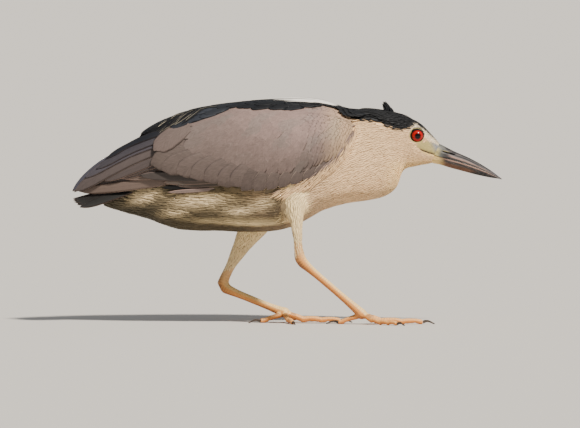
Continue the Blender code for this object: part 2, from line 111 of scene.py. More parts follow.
class Look:  # a material with one method that adds any node
    def __init__(self, name, **fixed):
        self.material = bpy.data.materials.new(name)
        self.material.use_nodes = True
        self.tree = self.material.node_tree
        self.finish(**fixed)

    def feed(self, socket, value):
        if isinstance(value, Wire):
            self.tree.links.new(value.socket, socket)
        else:
            socket.default_value = value

    def add(self, kind, settings=None, *values, output=0, **named):
        node = self.tree.nodes.new(kind)
        for key, value in (settings or {}).items():
            setattr(node, key, value)
        for socket, value in zip(node.inputs, values):
            self.feed(socket, value)
        for key, value in named.items():
            self.feed(node.inputs[key], value)
        return Wire(self, node.outputs[output])

    def mix(self, share, first, second, blend="MIX"):
        made = self.add("ShaderNodeMix", {"data_type": "RGBA", "blend_type": blend}, output=2)
        for index, value in ((0, share), (6, first), (7, second)):
            value = (*value, 1.0) if isinstance(value, tuple) else value
            self.feed(made.socket.node.inputs[index], value)
        return made

    def stain(self, colour, *layers):  # lays hex colours over a colour one by one, each by its share
        for share, code in layers:
            colour = self.mix(share, colour, paint(code))
        return colour

    def place(self, centre=(0, 0, 0), scale=(1, 1, 1), turn=(0, 0, 0)):  # millimetres from centre, turned
        spot = self.add("ShaderNodeTexCoord", output=3)
        return self.add("ShaderNodeMapping", {"vector_type": "TEXTURE"}, spot, Scale=[mm / s for s in scale],
                        Location=[c * mm for c in centre], Rotation=turn)

    def split(self, vector):
        made = self.add("ShaderNodeSeparateXYZ", None, vector)
        return [Wire(self, out) for out in made.socket.node.outputs]

    def attribute(self, name, output=0):
        return self.add("ShaderNodeAttribute", {"attribute_name": name}, output=output)

    def noise(self, vector, scale, detail=3.0, roughness=0.5):
        return self.add("ShaderNodeTexNoise", {}, vector, Scale=scale, Detail=detail, Roughness=roughness)

    def bump(self, height, strength, distance):
        return self.add("ShaderNodeBump", {}, Strength=strength, Distance=distance * mm, Height=height)

    def finish(self, **sockets):
        for socket, value in sockets.items():
            self.feed(self.tree.nodes["Principled BSDF"].inputs[socket.replace("_", " ")], value)
        return self.material


def paint(code):  # a hex sRGB colour as linear values
    values = [int(code[i : i + 2], 16) / 255 for i in (0, 2, 4)]
    return tuple(v / 12.92 if v <= 0.04045 else ((v + 0.055) / 1.055) ** 2.4 for v in values)


def palette(**codes):
    return {name: paint(code) for name, code in codes.items()}


def blendTone(first, second, share):
    share = np.clip(np.asarray(share, float), 0, 1)[..., None]
    return np.asarray(first) * (1 - share) + np.asarray(second) * share


def wash(tone, colours, *layers):  # lays colours over a tone one by one, each by its share
    for name, share in layers:
        tone = blendTone(tone, colours[name], share)
    return tone


def soft(value, low, high):  # smooth step from 0 at low to 1 at high
    t = np.clip((value - low) / (high - low), 0, 1)
    return t * t * (3 - 2 * t)


def near(value, centre, reach):  # a soft bump, 1 at the centre
    return np.exp(-(((value - centre) / reach) ** 2))


def lineAt(line, x):  # the height at x of a line of points
    return np.interp(x, *zip(*line))


def curved(table, at):  # a smooth curve through the rows of a table
    rows = np.array(table, float)
    xs, ys = rows[:, 0], rows[:, 1:]
    slopes = np.gradient(ys, xs, axis=0)
    i = np.clip(np.searchsorted(xs, at) - 1, 0, len(xs) - 2)
    wide = (xs[i + 1] - xs[i])[:, None]
    t = np.clip((at - xs[i])[:, None] / wide, 0, 1)
    flow = (2 * t**3 - 3 * t**2 + 1) * ys[i] + (t**3 - 2 * t**2 + t) * wide * slopes[i]
    return flow + (3 * t**2 - 2 * t**3) * ys[i + 1] + (t**3 - t**2) * wide * slopes[i + 1]


def unit(vectors):
    return vectors / (np.linalg.norm(vectors, axis=-1, keepdims=True) + 1e-12)


def square(tilts, ways):  # tilts turned square to the ways
    return unit(tilts - ways * (tilts * ways).sum(-1, keepdims=True))


def runOf(spine):  # the way that each spine runs
    return unit(np.gradient(spine, axis=1))


def ripple(spots, size, seed, ways=7):  # a smooth loose field between about -1 and 1
    loose = np.random.default_rng(seed)
    turns = unit(loose.normal(0, 1, (ways, 3))) * (2 * np.pi / (size * loose.uniform(0.7, 1.5, (ways, 1))))
    return np.sin(spots @ turns.T + loose.uniform(0, 7, ways)).mean(1) * 1.7


def linked(name, data):
    piece = bpy.data.objects.new(name, data)
    scene.collection.objects.link(piece)
    return piece


def asObject(name, bm):
    mesh = bpy.data.meshes.new(name)
    bm.to_mesh(mesh)
    bm.free()
    return linked(name, mesh)


def nodeCopies(names, swell=0.0):  # copies of CAD nodes with their loose triangles merged
    whole = bmesh.new()
    for name in names:
        part = bmesh.new()
        part.from_mesh(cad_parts[name].data)
        bmesh.ops.remove_doubles(part, verts=part.verts, dist=touching)
        part.normal_update()
        if swell:
            for vert in part.verts:
                vert.co += vert.normal * swell * mm
        mesh = bpy.data.meshes.new("copy")
        part.to_mesh(mesh)
        part.free()
        whole.from_mesh(mesh)
        bpy.data.meshes.remove(mesh)
    return whole


def voxels(name, bm, size):  # a remeshed piece, with the modifier applied
    piece = asObject(name, bm)
    remesh = piece.modifiers.new("Remesh", "REMESH")
    remesh.mode = "VOXEL"
    remesh.voxel_size = size * mm
    graph = bpy.context.evaluated_depsgraph_get()
    mesh = bpy.data.meshes.new_from_object(piece.evaluated_get(graph))
    piece.modifiers.clear()
    old, piece.data = piece.data, mesh
    bpy.data.meshes.remove(old)
    return piece


def fetched(items, key, wide, kind=float):  # one property of many mesh items, in rows
    values = np.empty(len(items) * wide, kind)
    items.foreach_get(key, values)
    return values.reshape(-1, wide)


def spotsOf(mesh):
    return fetched(mesh.vertices, "co", 3) / mm


def normalsOf(mesh):
    return fetched(mesh.vertex_normals, "vector", 3)


def edgesOf(mesh):
    return fetched(mesh.edges, "vertices", 2, int)


def putSpots(mesh, spots):
    mesh.vertices.foreach_set("co", (spots * mm).ravel())
    mesh.update()


def relax(values, pairs, times, share=0.5, hold=None):  # evens out values along a mesh's edges
    values = values.copy()
    count = np.bincount(pairs.ravel(), minlength=len(values))[:, None]
    for _ in range(times):
        total = np.zeros_like(values)
        for axis in range(values.shape[1]):
            total[:, axis] = np.bincount(pairs[:, 0], values[pairs[:, 1], axis], len(values))
            total[:, axis] += np.bincount(pairs[:, 1], values[pairs[:, 0], axis], len(values))
        change = (total / count - values) * share
        values += change if hold is None else change * (1 - hold)[:, None]
    return values


def smoothShade(piece):
    piece.data.shade_smooth()
    return piece


def sheet(name, across, along, shape):  # a grid wrapped into a closed form: shape turns shares into places
    bm = bmesh.new()
    bmesh.ops.create_grid(bm, x_segments=across, y_segments=along, size=0.5)
    shares = np.array([vert.co[:2] for vert in bm.verts]) + 0.5
    for vert, spot in zip(bm.verts, shape(shares[:, 0], shares[:, 1])):
        vert.co = Vector(spot) * mm
    bmesh.ops.remove_doubles(bm, verts=bm.verts, dist=touching)
    bmesh.ops.recalc_face_normals(bm, faces=bm.faces)
    return smoothShade(asObject(name, bm))


def store(mesh, name, kind, values, domain="POINT"):
    key = {"FLOAT_COLOR": "color", "FLOAT_VECTOR": "vector"}.get(kind, "value")
    mesh.attributes.new(name, kind, domain).data.foreach_set(key, values.ravel())


def paintSpots(mesh, colours):  # one colour for each point
    whole = np.ones((len(mesh.vertices), 4))
    whole[:, :3] = colours
    store(mesh, "tone", "FLOAT_COLOR", whole)


def dress(piece, material, slot, *nodes):
    piece.data.materials.clear()
    piece.data.materials.append(material)
    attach(piece, "root")
    if nodes:
        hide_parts(*nodes)
    print(piece.name, len(piece.data.polygons), "faces")
    return piece


studio = {
    "aim": (3.0, 0.0, 111.5),  # what the middle of the frame looks at
    "width": 591.6,  # what the frame spans at the bird
    "distance": 7000.0,
    "elevation": 2.0,
    "sensor": 36,
    "key": {"turn": 36, "height": 50, "energy": 6.6, "angle": 6.0, "tint": (1.0, 0.93, 0.84)},
    "fill": 0.35,
    "sky": (0.93, 0.95, 1.0, 1),
    "paleFloor": "cbc8c2",
}


def makeStudio():
    camera = bpy.data.cameras.new("camera")
    scene.camera = linked("camera", camera)
    lift = math.radians(studio["elevation"])
    back = Vector((0, -math.cos(lift), math.sin(lift)))
    scene.camera.location = (Vector(studio["aim"]) + back * studio["distance"]) * mm
    scene.camera.rotation_euler = (-back).to_track_quat("-Z", "Y").to_euler()
    camera.sensor_width = studio["sensor"]
    camera.lens = studio["sensor"] * studio["distance"] / studio["width"]
    camera.clip_end = 100

    key = bpy.data.lights.new("key", "SUN")
    key.energy, key.color = studio["key"]["energy"], studio["key"]["tint"]
    key.angle, turn, height = (math.radians(studio["key"][name]) for name in ("angle", "turn", "height"))
    lamp = linked("key", key)
    away = Vector((math.sin(turn) * math.cos(height), -math.cos(turn) * math.cos(height), math.sin(height)))
    lamp.rotation_euler = (-away).to_track_quat("-Z", "Y").to_euler()
    lamp.location = away * 2

    scene.world = bpy.data.worlds.new("studio")
    scene.world.use_nodes = True
    sky = scene.world.node_tree.nodes["Background"].inputs
    sky["Color"].default_value, sky["Strength"].default_value = studio["sky"], studio["fill"]

    bm = bmesh.new()
    bmesh.ops.create_grid(bm, x_segments=1, y_segments=1, size=150)
    floor = asObject("floor", bm)
    look = Look("paleFloor", Roughness=0.85)
    floor.data.materials.append(look.finish(Base_Color=(*paint(studio["paleFloor"]), 1)))
    floor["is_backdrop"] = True


makeStudio()
print("studio ready")

# The plumage's colours, shared by the skin and the coat. Some are painted light and shade: the belly and vent colours
# are the cream underparts painted in shade, the tuft colour is painted sunlit patches, the gloss colour is a painted
# blue sheen, the chest and low covert colours are partly painted shade, and the tail colour is the tail's grey painted
# dark with shade.
tones = palette(
    cream="ecc595", throat="ffd896", chest="d0b08b", belly="665434", vent="3c3420", thigh="ffe3ac", tuft="ecd2a4",
    crown="0b0e13", mantle="0e1116", scapular="0c0e11", gloss="2b2f37", lesser="87726c", covert="695b56",
    lowCovert="554b46", tail="181715", brow="fff0d2", lores="b5a56a", loresBlue="84868c", gape="ffdc8c",
    mouth="33251a", lid="15130f", white="f4f1ea")

# The cap's lower border.
capLine = ((40, 216), (64, 206), (90, 205.5), (105, 199), (115.3, 196.8), (123, 198.8), (126, 201.0), (129, 203.2),
           (132, 203.4), (135.3, 201.0), (138.9, 197.3), (142.5, 193.9), (146, 190.7), (149.6, 187.7), (158, 180.5))
# The corner of the mouth, where it runs from under the eye to the bill.
gapeLine = ((124, 182), (133.2, 179.2), (137.5, 176.7), (143, 174.6), (148.9, 172.8), (152, 171.3), (160, 168))
# The lower and front edge of the closed wing, where it meets the cream breast.
wingEdge = ((-225, 138), (-140, 142), (-60, 146), (-20, 145), (10, 150), (38, 158), (54, 170), (64, 184), (72, 204),
            (80, 222))
# Painted sunlit patches on the shaded underparts: x, z, length and height.
bellyTufts = ((-148, 130, 14, 8), (-92, 125, 26, 6.5), (-50, 115, 15, 5), (-118, 112, 12, 4), (-20, 124, 12, 5))


def plumage(spots):  # the body's base colour at places in millimetres
    x, y, z = spots.T
    wobble = 0.9 * np.sin(x * 0.9 + z * 0.5) + 0.6 * np.sin(z * 1.7 - x * 0.6 + np.abs(y))
    wobble = wobble * (1 - 0.7 * soft(x, 112, 128))
    # painted shade: the lower underparts are darkened as if in shadow
    under = soft(148 - z, 6, 30) * soft(30 - x, 0, 40)
    # painted shadow in a band under the wing's lower edge
    shade = (1 - soft(lineAt(wingEdge, x) - z, 4, 15)) * soft(10 - x, 0, 20)
    # painted light: sunlit patches laid over the painted shade of the underparts
    tufts = [("tuft", 0.85 * (near(x - (z - cz) * 0.8, cx, wide) * near(z, cz, tall)))
             for cx, cz, wide, tall in bellyTufts]
    thighX = np.where(y < 0, np.interp(z, (78, 92, 114, 137, 158), (11.6, 10.5, 9, 6.5, 3)),
                      np.interp(z, (60, 80, 102, 132), (-56, -45, -32, -14)))
    beside = soft(np.abs(y), 22, 30) * (1 - soft(z, 136, 152))
    capZ = lineAt(capLine, x)
    gape = z - lineAt(gapeLine, x)
    # Painted shade: the belly and vent colours darken the cream underparts, the under and shade masks darken the lower
    # belly and a band under the wing's edge, and a dark band is painted behind the thigh.
    return wash(
        # the chest colour darkens the breast, partly as painted half-shade
        np.broadcast_to(tones["cream"], spots.shape), tones, ("chest", soft(60 - x, 0, 45) * 0.8),
        ("belly", soft(-x, -10, 60)), ("vent", soft(-x, 90, 160)), ("vent", np.maximum(under * 0.6, shade * 0.8)),
        # the tufts are painted sunlit patches
        *tufts, ("throat", soft(x, 92, 118) * soft(172 - z, 0, 14)),
        ("vent", 0.65 * near(x - thighX, -22, 9) * beside),
        ("thigh", np.maximum(soft(112 - z, 0, 14), 1 - soft(np.abs(x - thighX), 8, 15)) * beside),
        ("brow", soft(x, 122, 130) * soft(z, capZ - 9, capZ - 4) * 0.9),
        ("crown", soft(z - capZ + wobble, -1.1, 1.1) * soft(x, 30, 48)),
        ("gape", near(gape, -1.6, 1.1) * soft(x, 134, 140) * 0.8),
        ("mantle", soft(z, 205, 209) * soft(60 - x, 0, 14)))


class Ground:  # a surface that feathers are laid on
    around = list(itertools.product((-1, 0, 1), repeat=3))

    def __init__(self, mesh):
        mesh.calc_loop_triangles()
        self.corners = fetched(mesh.loop_triangles, "vertices", 3, int)
        self.spots, self.slopes = spotsOf(mesh), normalsOf(mesh)
        self.tree = BVHTree.FromPolygons(self.spots.tolist(), self.corners.tolist())

    def settle(self, points):  # the nearest places on the surface, and its smooth slope there
        found = [self.tree.find_nearest(p) for p in points.reshape(-1, 3).tolist()]
        spots = np.array([f[0] for f in found])
        three = self.corners[[f[2] for f in found]]
        a, b, c = (self.spots[three[:, i]] for i in range(3))
        ab, ac, ap = b - a, c - a, spots - a
        dots = [np.einsum("ij,ij->i", m, n) for m, n in ((ab, ab), (ab, ac), (ac, ac), (ap, ab), (ap, ac))]
        wide = dots[0] * dots[2] - dots[1] ** 2 + 1e-12
        second = (dots[2] * dots[3] - dots[1] * dots[4]) / wide
        third = (dots[0] * dots[4] - dots[1] * dots[3]) / wide
        shares = np.clip(np.stack((1 - second - third, second, third), 1), 0, 1)
        slopes = unit((self.slopes[three] * shares[:, :, None]).sum(1))
        return spots.reshape(points.shape), slopes.reshape(points.shape)

    def scatter(self, chance, spacing, keep, tries=9):  # evenly loose roots, spacing mm apart
        a, b, c = (self.spots[self.corners[:, i]] for i in range(3))
        size = np.linalg.norm(np.cross(b - a, c - a), axis=1) / 2
        middle = (a + b + c) / 3
        many = chance.poisson(np.where(keep(middle), size / spacing(middle) ** 2, 0) * tries)
        pick = np.repeat(np.arange(len(many)), many)
        chance.shuffle(pick)
        r, s = chance.random((2, len(pick)))
        over = r + s > 1
        r[over], s[over] = 1 - r[over], 1 - s[over]
        spots = a[pick] + (b - a)[pick] * r[:, None] + (c - a)[pick] * s[:, None]
        gaps = spacing(spots)
        cells = np.floor(spots / float(gaps.max())).astype(int).tolist()
        taken, chosen = {}, []
        for i, ((px, py, pz), gap, (kx, ky, kz)) in enumerate(zip(spots.tolist(), gaps.tolist(), cells)):
            beside = (spot for dx, dy, dz in self.around for spot in taken.get((kx + dx, ky + dy, kz + dz), ()))
            if not any((qx - px) ** 2 + (qy - py) ** 2 + (qz - pz) ** 2 < gap**2 for qx, qy, qz in beside):
                taken.setdefault((kx, ky, kz), []).append((px, py, pz))
                chosen.append(i)
        return spots[chosen]


class Open:  # no surface under the feathers: they hang free
    def settle(self, points):
        return points, np.broadcast_to(np.array([0.0, 0.0, 1.0]), points.shape)


# The smooth line round both closed wings. Rows: x, top, bottom, half width.
wingLine = ((-219.5, 139, 128.5, 5), (-212, 148.6, 121, 8), (-200, 160.5, 112, 13.5), (-180, 174.5, 108, 21),
            (-160, 185, 106, 27.5), (-139, 200, 103, 33.5), (-105, 213.5, 95, 40.5), (-70, 221, 93, 46),
            (-25, 226, 92.5, 51.5), (8, 226.4, 98.5, 52), (36, 223.5, 113.5, 48), (62, 217.4, 121, 40),
            (72, 216.8, 123, 36.5))
# Where the black of the back ends above the grey wing.
backEdge = ((-152, 188.5), (-139, 196), (-119, 200.5), (-99, 205), (-84, 207), (-58, 215.5), (-42, 219.5), (-22, 219.5),
            (3, 216.5), (23, 216.8), (44, 218.3), (56, 213), (64, 206.5), (74, 202))
wingEnds = (-219.5, 72)
wingSpec = {"round": 2.2, "along": 120, "around": 96}  # round: how boxy the cross section is
coverSpec = {"swell": 0.5, "voxel": 1.6, "depth": 2.3}  # depth: how far under the feathers' level


def wingShell():  # only something to lay feathers on: it isn't a piece
    along = np.linspace(*wingEnds, wingSpec["along"])
    top, bottom, half = curved(wingLine, along).T[:, :, None]
    turn = np.linspace(0, 2 * np.pi, wingSpec["around"], endpoint=False)
    c, s = (np.sign(wave) * np.abs(wave) ** (2 / wingSpec["round"]) for wave in (np.cos(turn), np.sin(turn)))
    y = c * half
    z = (top + bottom) / 2 + s * (top - bottom) / 2
    spots = np.stack((np.broadcast_to(along[:, None], y.shape), y, z), -1).reshape(-1, 3)
    grid = np.arange(len(spots)).reshape(y.shape)
    nextTurn = np.roll(grid, -1, 1)
    faces = np.stack((grid[:-1], nextTurn[:-1], nextTurn[1:], grid[1:]), -1).reshape(-1, 4)
    mesh = bpy.data.meshes.new("wingShell")
    mesh.from_pydata((spots * mm).tolist(), [], faces.tolist())
    return Ground(mesh)


def coverShell():  # the whole closed wing and back, evened out, just under the feathers' own level
    names = ("trunk", "neck", "mantle", "wing_right", "wing_left", "flight_right", "flight_left")
    shell = voxels("coverShell", nodeCopies(names, coverSpec["swell"]), coverSpec["voxel"])
    mesh = shell.data
    spots = relax(spotsOf(mesh), edgesOf(mesh), 30)
    putSpots(mesh, spots)
    putSpots(mesh, relax(spots - normalsOf(mesh) * coverSpec["depth"], edgesOf(mesh), 10))
    ground = Ground(mesh)
    bpy.data.objects.remove(shell)
    return ground


wingGround = wingShell()
coverGround = coverShell()

skinSpec = {
    "nodes": ("trunk", "neck", "head", "wing_right", "wing_left", "thigh_right", "thigh_left"),
    "inside": ("shank_right", "shank_left"),
    "swell": 0.5,
    "voxel": 1.5,
    "settle": 14,
    "even": 4,
    "face": 117,  # beyond this x the mesh is finer
    "under": 1.0,  # how deep it lies under the wings' own ground
    # how deep the coat is, from the tail to the bill
    "depthAt": (-190, -150, -100, 0, 60, 100, 118, 130, 146, 154),
    "depth": (1.4, 1.8, 2.0, 2.0, 1.7, 1.3, 1.0, 0.8, 0.5, 0.1),
    "wingDepth": 3.2,
    "legDepth": 0.7,
}
eyeSpec = {"centre": (132.2, 10.6, 192.2), "radius": 7.3, "socket": 10.5, "around": 56, "along": 40}


def underWings(spots):  # how far a place is covered by the closed wings and the back feathers
    x, y, z = spots.T
    return soft(z - lineAt(wingEdge, x), -1, 3) * soft(78 - x, 0, 8)


def coatDepth(spots):
    x, y, z = spots.T
    wing = underWings(spots)
    depth = np.interp(x, skinSpec["depthAt"], skinSpec["depth"]) * (1 - wing) + skinSpec["wingDepth"] * wing
    leg = soft(104 - z, 0, 14) * soft(np.abs(y), 22, 28)
    bare = near(x, 147, 9) * near(z, 180, 8)
    return (depth * (1 - leg) + skinSpec["legDepth"] * leg) * (1 - 0.9 * bare)


def sunk(spots, ground, depth):  # places pushed in until they lie deeper than depth under a surface
    on, slopes = ground.settle(spots)
    above = ((spots - on) * slopes).sum(1) + depth
    return spots - slopes * (np.maximum(above, 0) * underWings(spots))[:, None]


def carveHead(spots):  # sockets, brows, the gape and the hollow of the lores
    x, y, z = spots.T
    out = np.abs(y)
    cx, _, cz = eyeSpec["centre"]
    ring = np.hypot(x - cx, (z - cz) * 1.04)
    head = (x > 108) & (out > 5)
    deep = np.interp(ring, (0, 5.6, 6.6, eyeSpec["socket"]), (12.0, 12.6, 14.6, 17.2))
    share = 1 - soft(ring, 7.0, eyeSpec["socket"])
    out = np.where(head & (ring < eyeSpec["socket"]), out * (1 - share) + np.minimum(out, deep) * share, out)
    gapeZ = lineAt(gapeLine, x)
    brow = near(x + (z - 198) * 0.8, 131, 9) * near(z + (x - 131) * 0.35, 200.5, 2.2) * head
    gape = near(z, gapeZ, 0.7) * soft(x, 131, 138) * head
    lores = near(x, 146, 7) * near(z, 181.5, 4.5) * head
    cheek = near(x, 124, 9) * near(z, 172, 7) * head
    out = out + 0.5 * brow - 0.9 * gape + 0.35 * near(z, gapeZ - 1.7, 0.9) * soft(x, 133, 139) * head
    return np.stack((x, np.sign(y) * (out - 0.5 * lores + 0.5 * cheek), z), 1)


def loresMask(spots):  # the bare skin between eye and bill
    x, y, z = spots.T
    high = np.interp(x, (130, 136, 140, 149, 156), (183.6, 186.5, 187.4, 184.4, 180.6))
    low = lineAt(gapeLine, x) + 0.4
    return soft(z, low - 0.6, low + 0.6) * (1 - soft(z, high - 1.2, high + 1.4)) * soft(x, 129.5, 134)


def eyeRing(spots):  # how far a place is from the eye's centre, seen from the side
    return np.hypot(spots[:, 0] - eyeSpec["centre"][0], spots[:, 2] - eyeSpec["centre"][2])


def skinTone(spots):
    x, y, z = spots.T
    bare = blendTone(tones["lores"], tones["loresBlue"], soft(x + (z - 180) * 0.5, 145, 153))
    hidden = underWings(spots)
    # Under the wings the skin takes the low covert colour, which is partly painted shade, and the scapulars' black.
    return wash(
        blendTone(plumage(spots), bare, loresMask(spots)), tones, ("lowCovert", hidden * (z < 205)),
        ("scapular", hidden * soft(z, 172, 178) * soft(-x, 96, 104)),
        ("lores", (1 - soft(eyeRing(spots), 7.6, 8.6)) * (np.abs(y) > 5) * (x > 110)),
        ("mouth", near(z - lineAt(gapeLine, x), 0, 0.55) * soft(x, 132.5, 137) * (np.abs(y) > 3)))


def makeSkin():
    skin = voxels("skin", nodeCopies(skinSpec["nodes"] + skinSpec["inside"], skinSpec["swell"]), skinSpec["voxel"])
    mesh = skin.data
    pairs, spots = edgesOf(mesh), spotsOf(mesh)
    firm = soft(spots[:, 0], 112, 122) * 0.7
    spots = relax(spots, pairs, skinSpec["settle"], hold=firm)
    putSpots(mesh, spots)
    spots = spots - normalsOf(mesh) * (coatDepth(spots) + skinSpec["swell"])[:, None]
    putSpots(mesh, sunk(relax(spots, pairs, skinSpec["even"], hold=firm), coverGround, skinSpec["under"]))
    bm = bmesh.new()
    bm.from_mesh(mesh)
    face = [e for e in bm.edges if min(v.co.x for v in e.verts) > skinSpec["face"] * mm]
    bmesh.ops.subdivide_edges(bm, edges=face, cuts=1, use_grid_fill=True, smooth=0.4)
    bmesh.ops.triangulate(bm, faces=[f for f in bm.faces if len(f.verts) > 4])
    bm.to_mesh(mesh)
    bm.free()
    spots = relax(carveHead(spotsOf(mesh)), edgesOf(mesh), 1, share=0.4)
    putSpots(mesh, spots)
    paintSpots(mesh, skinTone(spots))
    return smoothShade(skin)


def skinLook():
    look = Look("skinUnderCoat", Roughness=0.75)
    fine = look.noise(look.place(), 1.1, 4)
    crease = look.noise(look.place((145, 0, 180), (0.35, 1, 1.6), (0, 0.5, 0)), 1.0, 3)
    worn = fine * 0.35 + crease.ramp(0.45, 0.7) * 0.35
    colour = look.mix(worn, look.attribute("tone"), (0.30, 0.26, 0.18), "MULTIPLY")
    return look.finish(Base_Color=colour, Normal=look.bump(fine, 0.5, 0.35))


skin = makeSkin()
dress(skin, skinLook(), "cream_feather", *skinSpec["nodes"])

# Half width along a feather from root to tip, and how far its corners fall back, for each kind.
shapes = {
    "round": {"at": (0, 0.2, 0.5, 0.75, 0.9, 0.97, 1), "half": (0.4, 0.75, 1.0, 0.97, 0.78, 0.5, 0.2),
              "rounding": 0.06},
    "lax": {"at": (0, 0.3, 0.6, 0.85, 1), "half": (0.45, 0.85, 1.0, 0.8, 0.45), "rounding": 0.2},
    "covert": {"at": (0, 0.3, 0.6, 0.8, 0.92, 1), "half": (0.45, 0.85, 1.0, 0.86, 0.55, 0.1), "rounding": 0.12},
    "lance": {"at": (0, 0.25, 0.55, 0.8, 1), "half": (0.55, 0.95, 1.0, 0.6, 0.08), "rounding": 0.03},
    "long": {"at": (0, 0.15, 0.6, 0.85, 0.95, 1), "half": (0.55, 0.9, 1.0, 0.85, 0.5, 0.12), "rounding": 0.02},
    "wisp": {"at": (0, 0.3, 0.7, 1), "half": (0.5, 1.0, 0.75, 0.12), "rounding": 0.05},
}
wispy = {"kind": "wisp", "columns": 3, "fray": 0.0}
patchHalf = 0.0015  # half the side of a feather's patch on the unwrap


def template(kind, rows, columns, chance, count, fray):  # where each feather's points lie, as shares
    shape = shapes[kind]
    v, u = np.meshgrid(1 - (1 - np.linspace(0, 1, rows)) ** 1.5, np.linspace(-1, 1, columns), indexing="ij")
    along = v - shape["rounding"] * u**2 * v**3 + 0.03 * u**2 * (1 - v)
    along = np.broadcast_to(along, (count, rows, columns))
    if fray:
        along = along - chance.random(along.shape) * fray * np.clip((v - 0.75) * 4, 0, 1)
    across = np.broadcast_to(u * np.interp(v, shape["at"], shape["half"]), along.shape)
    return along, across, np.broadcast_to(u, along.shape)


def vaneFaces(rows, columns):  # a vane's upper side, then its flat under side, as triangles that face out
    grid = np.arange(rows * columns).reshape(rows, columns)
    a, b, c, d = grid[:-1, :-1], grid[:-1, 1:], grid[1:, 1:], grid[1:, :-1]
    upper = np.concatenate([np.stack(three, -1).reshape(-1, 3) for three in ((a, c, b), (a, d, c))])
    left, right = grid[:, 0], grid[:, -1]
    under = []
    for i in range(rows - 1):
        under += [(left[i], right[i], right[i + 1]), (left[i], right[i + 1], left[i + 1])]
    for j in range(1, columns - 1):
        under += [(grid[0, 0], grid[0, j], grid[0, j + 1]), (grid[-1, 0], grid[-1, j + 1], grid[-1, j])]
    return upper, np.array(under)


def vaneMesh(name, spots, vane, edge, tone, fringe, unwrap):
    # spots is feather x row x column x 3; tone and fringe one value for each feather
    count, rows, columns, _ = spots.shape
    upper, under = vaneFaces(rows, columns)
    faces = np.concatenate((upper, under))
    each = rows * columns
    every = (faces[None] + (np.arange(count) * each)[:, None, None]).reshape(-1, 3)
    mesh = bpy.data.meshes.new(name)
    mesh.vertices.add(count * each)
    mesh.vertices.foreach_set("co", (spots * mm).ravel())
    mesh.loops.add(every.size)
    mesh.loops.foreach_set("vertex_index", every.ravel())
    mesh.polygons.add(len(every))
    mesh.polygons.foreach_set("loop_start", np.arange(0, every.size, 3))
    mesh.update(calc_edges=True)
    store(mesh, "sharp_face", "BOOLEAN", np.tile(np.arange(len(faces)) >= len(upper), count), "FACE")
    paintSpots(mesh, np.repeat(tone, each, 0))
    store(mesh, "vane", "FLOAT_VECTOR", vane)
    store(mesh, "edge", "FLOAT", edge)
    store(mesh, "fringe", "FLOAT", np.repeat(fringe, each))
    flat = vane.reshape(count, each, 3)[:, :, :2]
    flat = flat - flat.mean(1, keepdims=True)
    patch = unwrap[:, None] + flat * (patchHalf / np.abs(flat).max(axis=(1, 2)))[:, None, None]
    mesh.uv_layers.new(name="OFBake").uv.foreach_set("vector", patch.reshape(-1, 2)[every.ravel()].ravel())
    return linked(name, mesh)


def unwrapped(roots):  # length along the body against the turn round it, both from 0 to 1
    flat = np.stack((roots[:, 0], np.arctan2(roots[:, 1], roots[:, 2] - 165)), 1)
    low, high = flat.min(0), flat.max(0)
    return 0.02 + 0.96 * (flat - low) / (high - low + 1e-9)


def march(ground, roots, lie, steps, chance, stray=0.07):  # spines that follow the ground from their roots
    spots, slopes = ground.settle(roots)
    heading = square(lie(spots) + chance.normal(0, stray, roots.shape), slopes)
    rows = []
    for step in np.diff(steps, axis=1, prepend=0).T:
        spots, slopes = ground.settle(spots + heading * step[:, None])
        heading = square(heading, slopes)
        rows.append((spots, heading, slopes))
    return (np.stack(parts, 1) for parts in zip(*rows))


def feathers(name, ground, roots, sizes, tone, chance, lie=None, spines=None, kind="round", rows=5, columns=5,
             fray=0.1, base=0.1, camber=0.08, stray=0.07, tuck=0.0, dive=0.0, free=False):
    # sizes are arrays: length, width, how far the tip rises, and how pale the fringe is
    count = len(roots)
    length, width, lift, fringe = (np.broadcast_to(np.asarray(v, float), (count,))[:, None, None] for v in sizes)
    half = width / 2
    along, across, u = template(kind, rows, columns, chance, count, fray)
    middle = along[:, :, columns // 2]
    if lie is not None:
        steps = np.maximum.accumulate(middle, 1) * length[:, 0]
        spine, ways, tilts = march(ground, roots, lie, steps, chance, stray)
    else:
        spine, ways, tilts = spines(middle)
    aside = np.cross(tilts, ways)
    slip = ((along - middle[:, :, None]) * length)[..., None]
    places = spine[:, :, None] + aside[:, :, None] * (across * half)[..., None] + ways[:, :, None] * slip
    places, slopes = (places, tilts[:, :, None]) if free else ground.settle(places)
    along = np.clip(along, 0, 1)
    rise = along**1.15 * (1 - tuck) + np.sin(np.pi * along**0.9) * tuck
    high = lift * rise + np.asarray(base).reshape(-1, 1, 1)
    high = high + camber * width * (1 - u**2) * np.clip(1.3 - along, 0.3, 1) - dive * (1 - along) ** 2
    places = places + slopes * high[..., None]
    luck = np.broadcast_to(chance.random(count)[:, None, None], along.shape)
    vane = np.stack((across * half, along * length, luck), -1)
    edge = np.minimum((1 - np.abs(u)) * (np.abs(across[:, :, :1]) * half), (1 - along) * length)
    return vaneMesh(name, places, vane, edge, tone, fringe.ravel(), unwrapped(roots))


barbSpec = {"pitch": 7.5, "slant": 1.2, "quill": 0.28, "relief": 0.12}


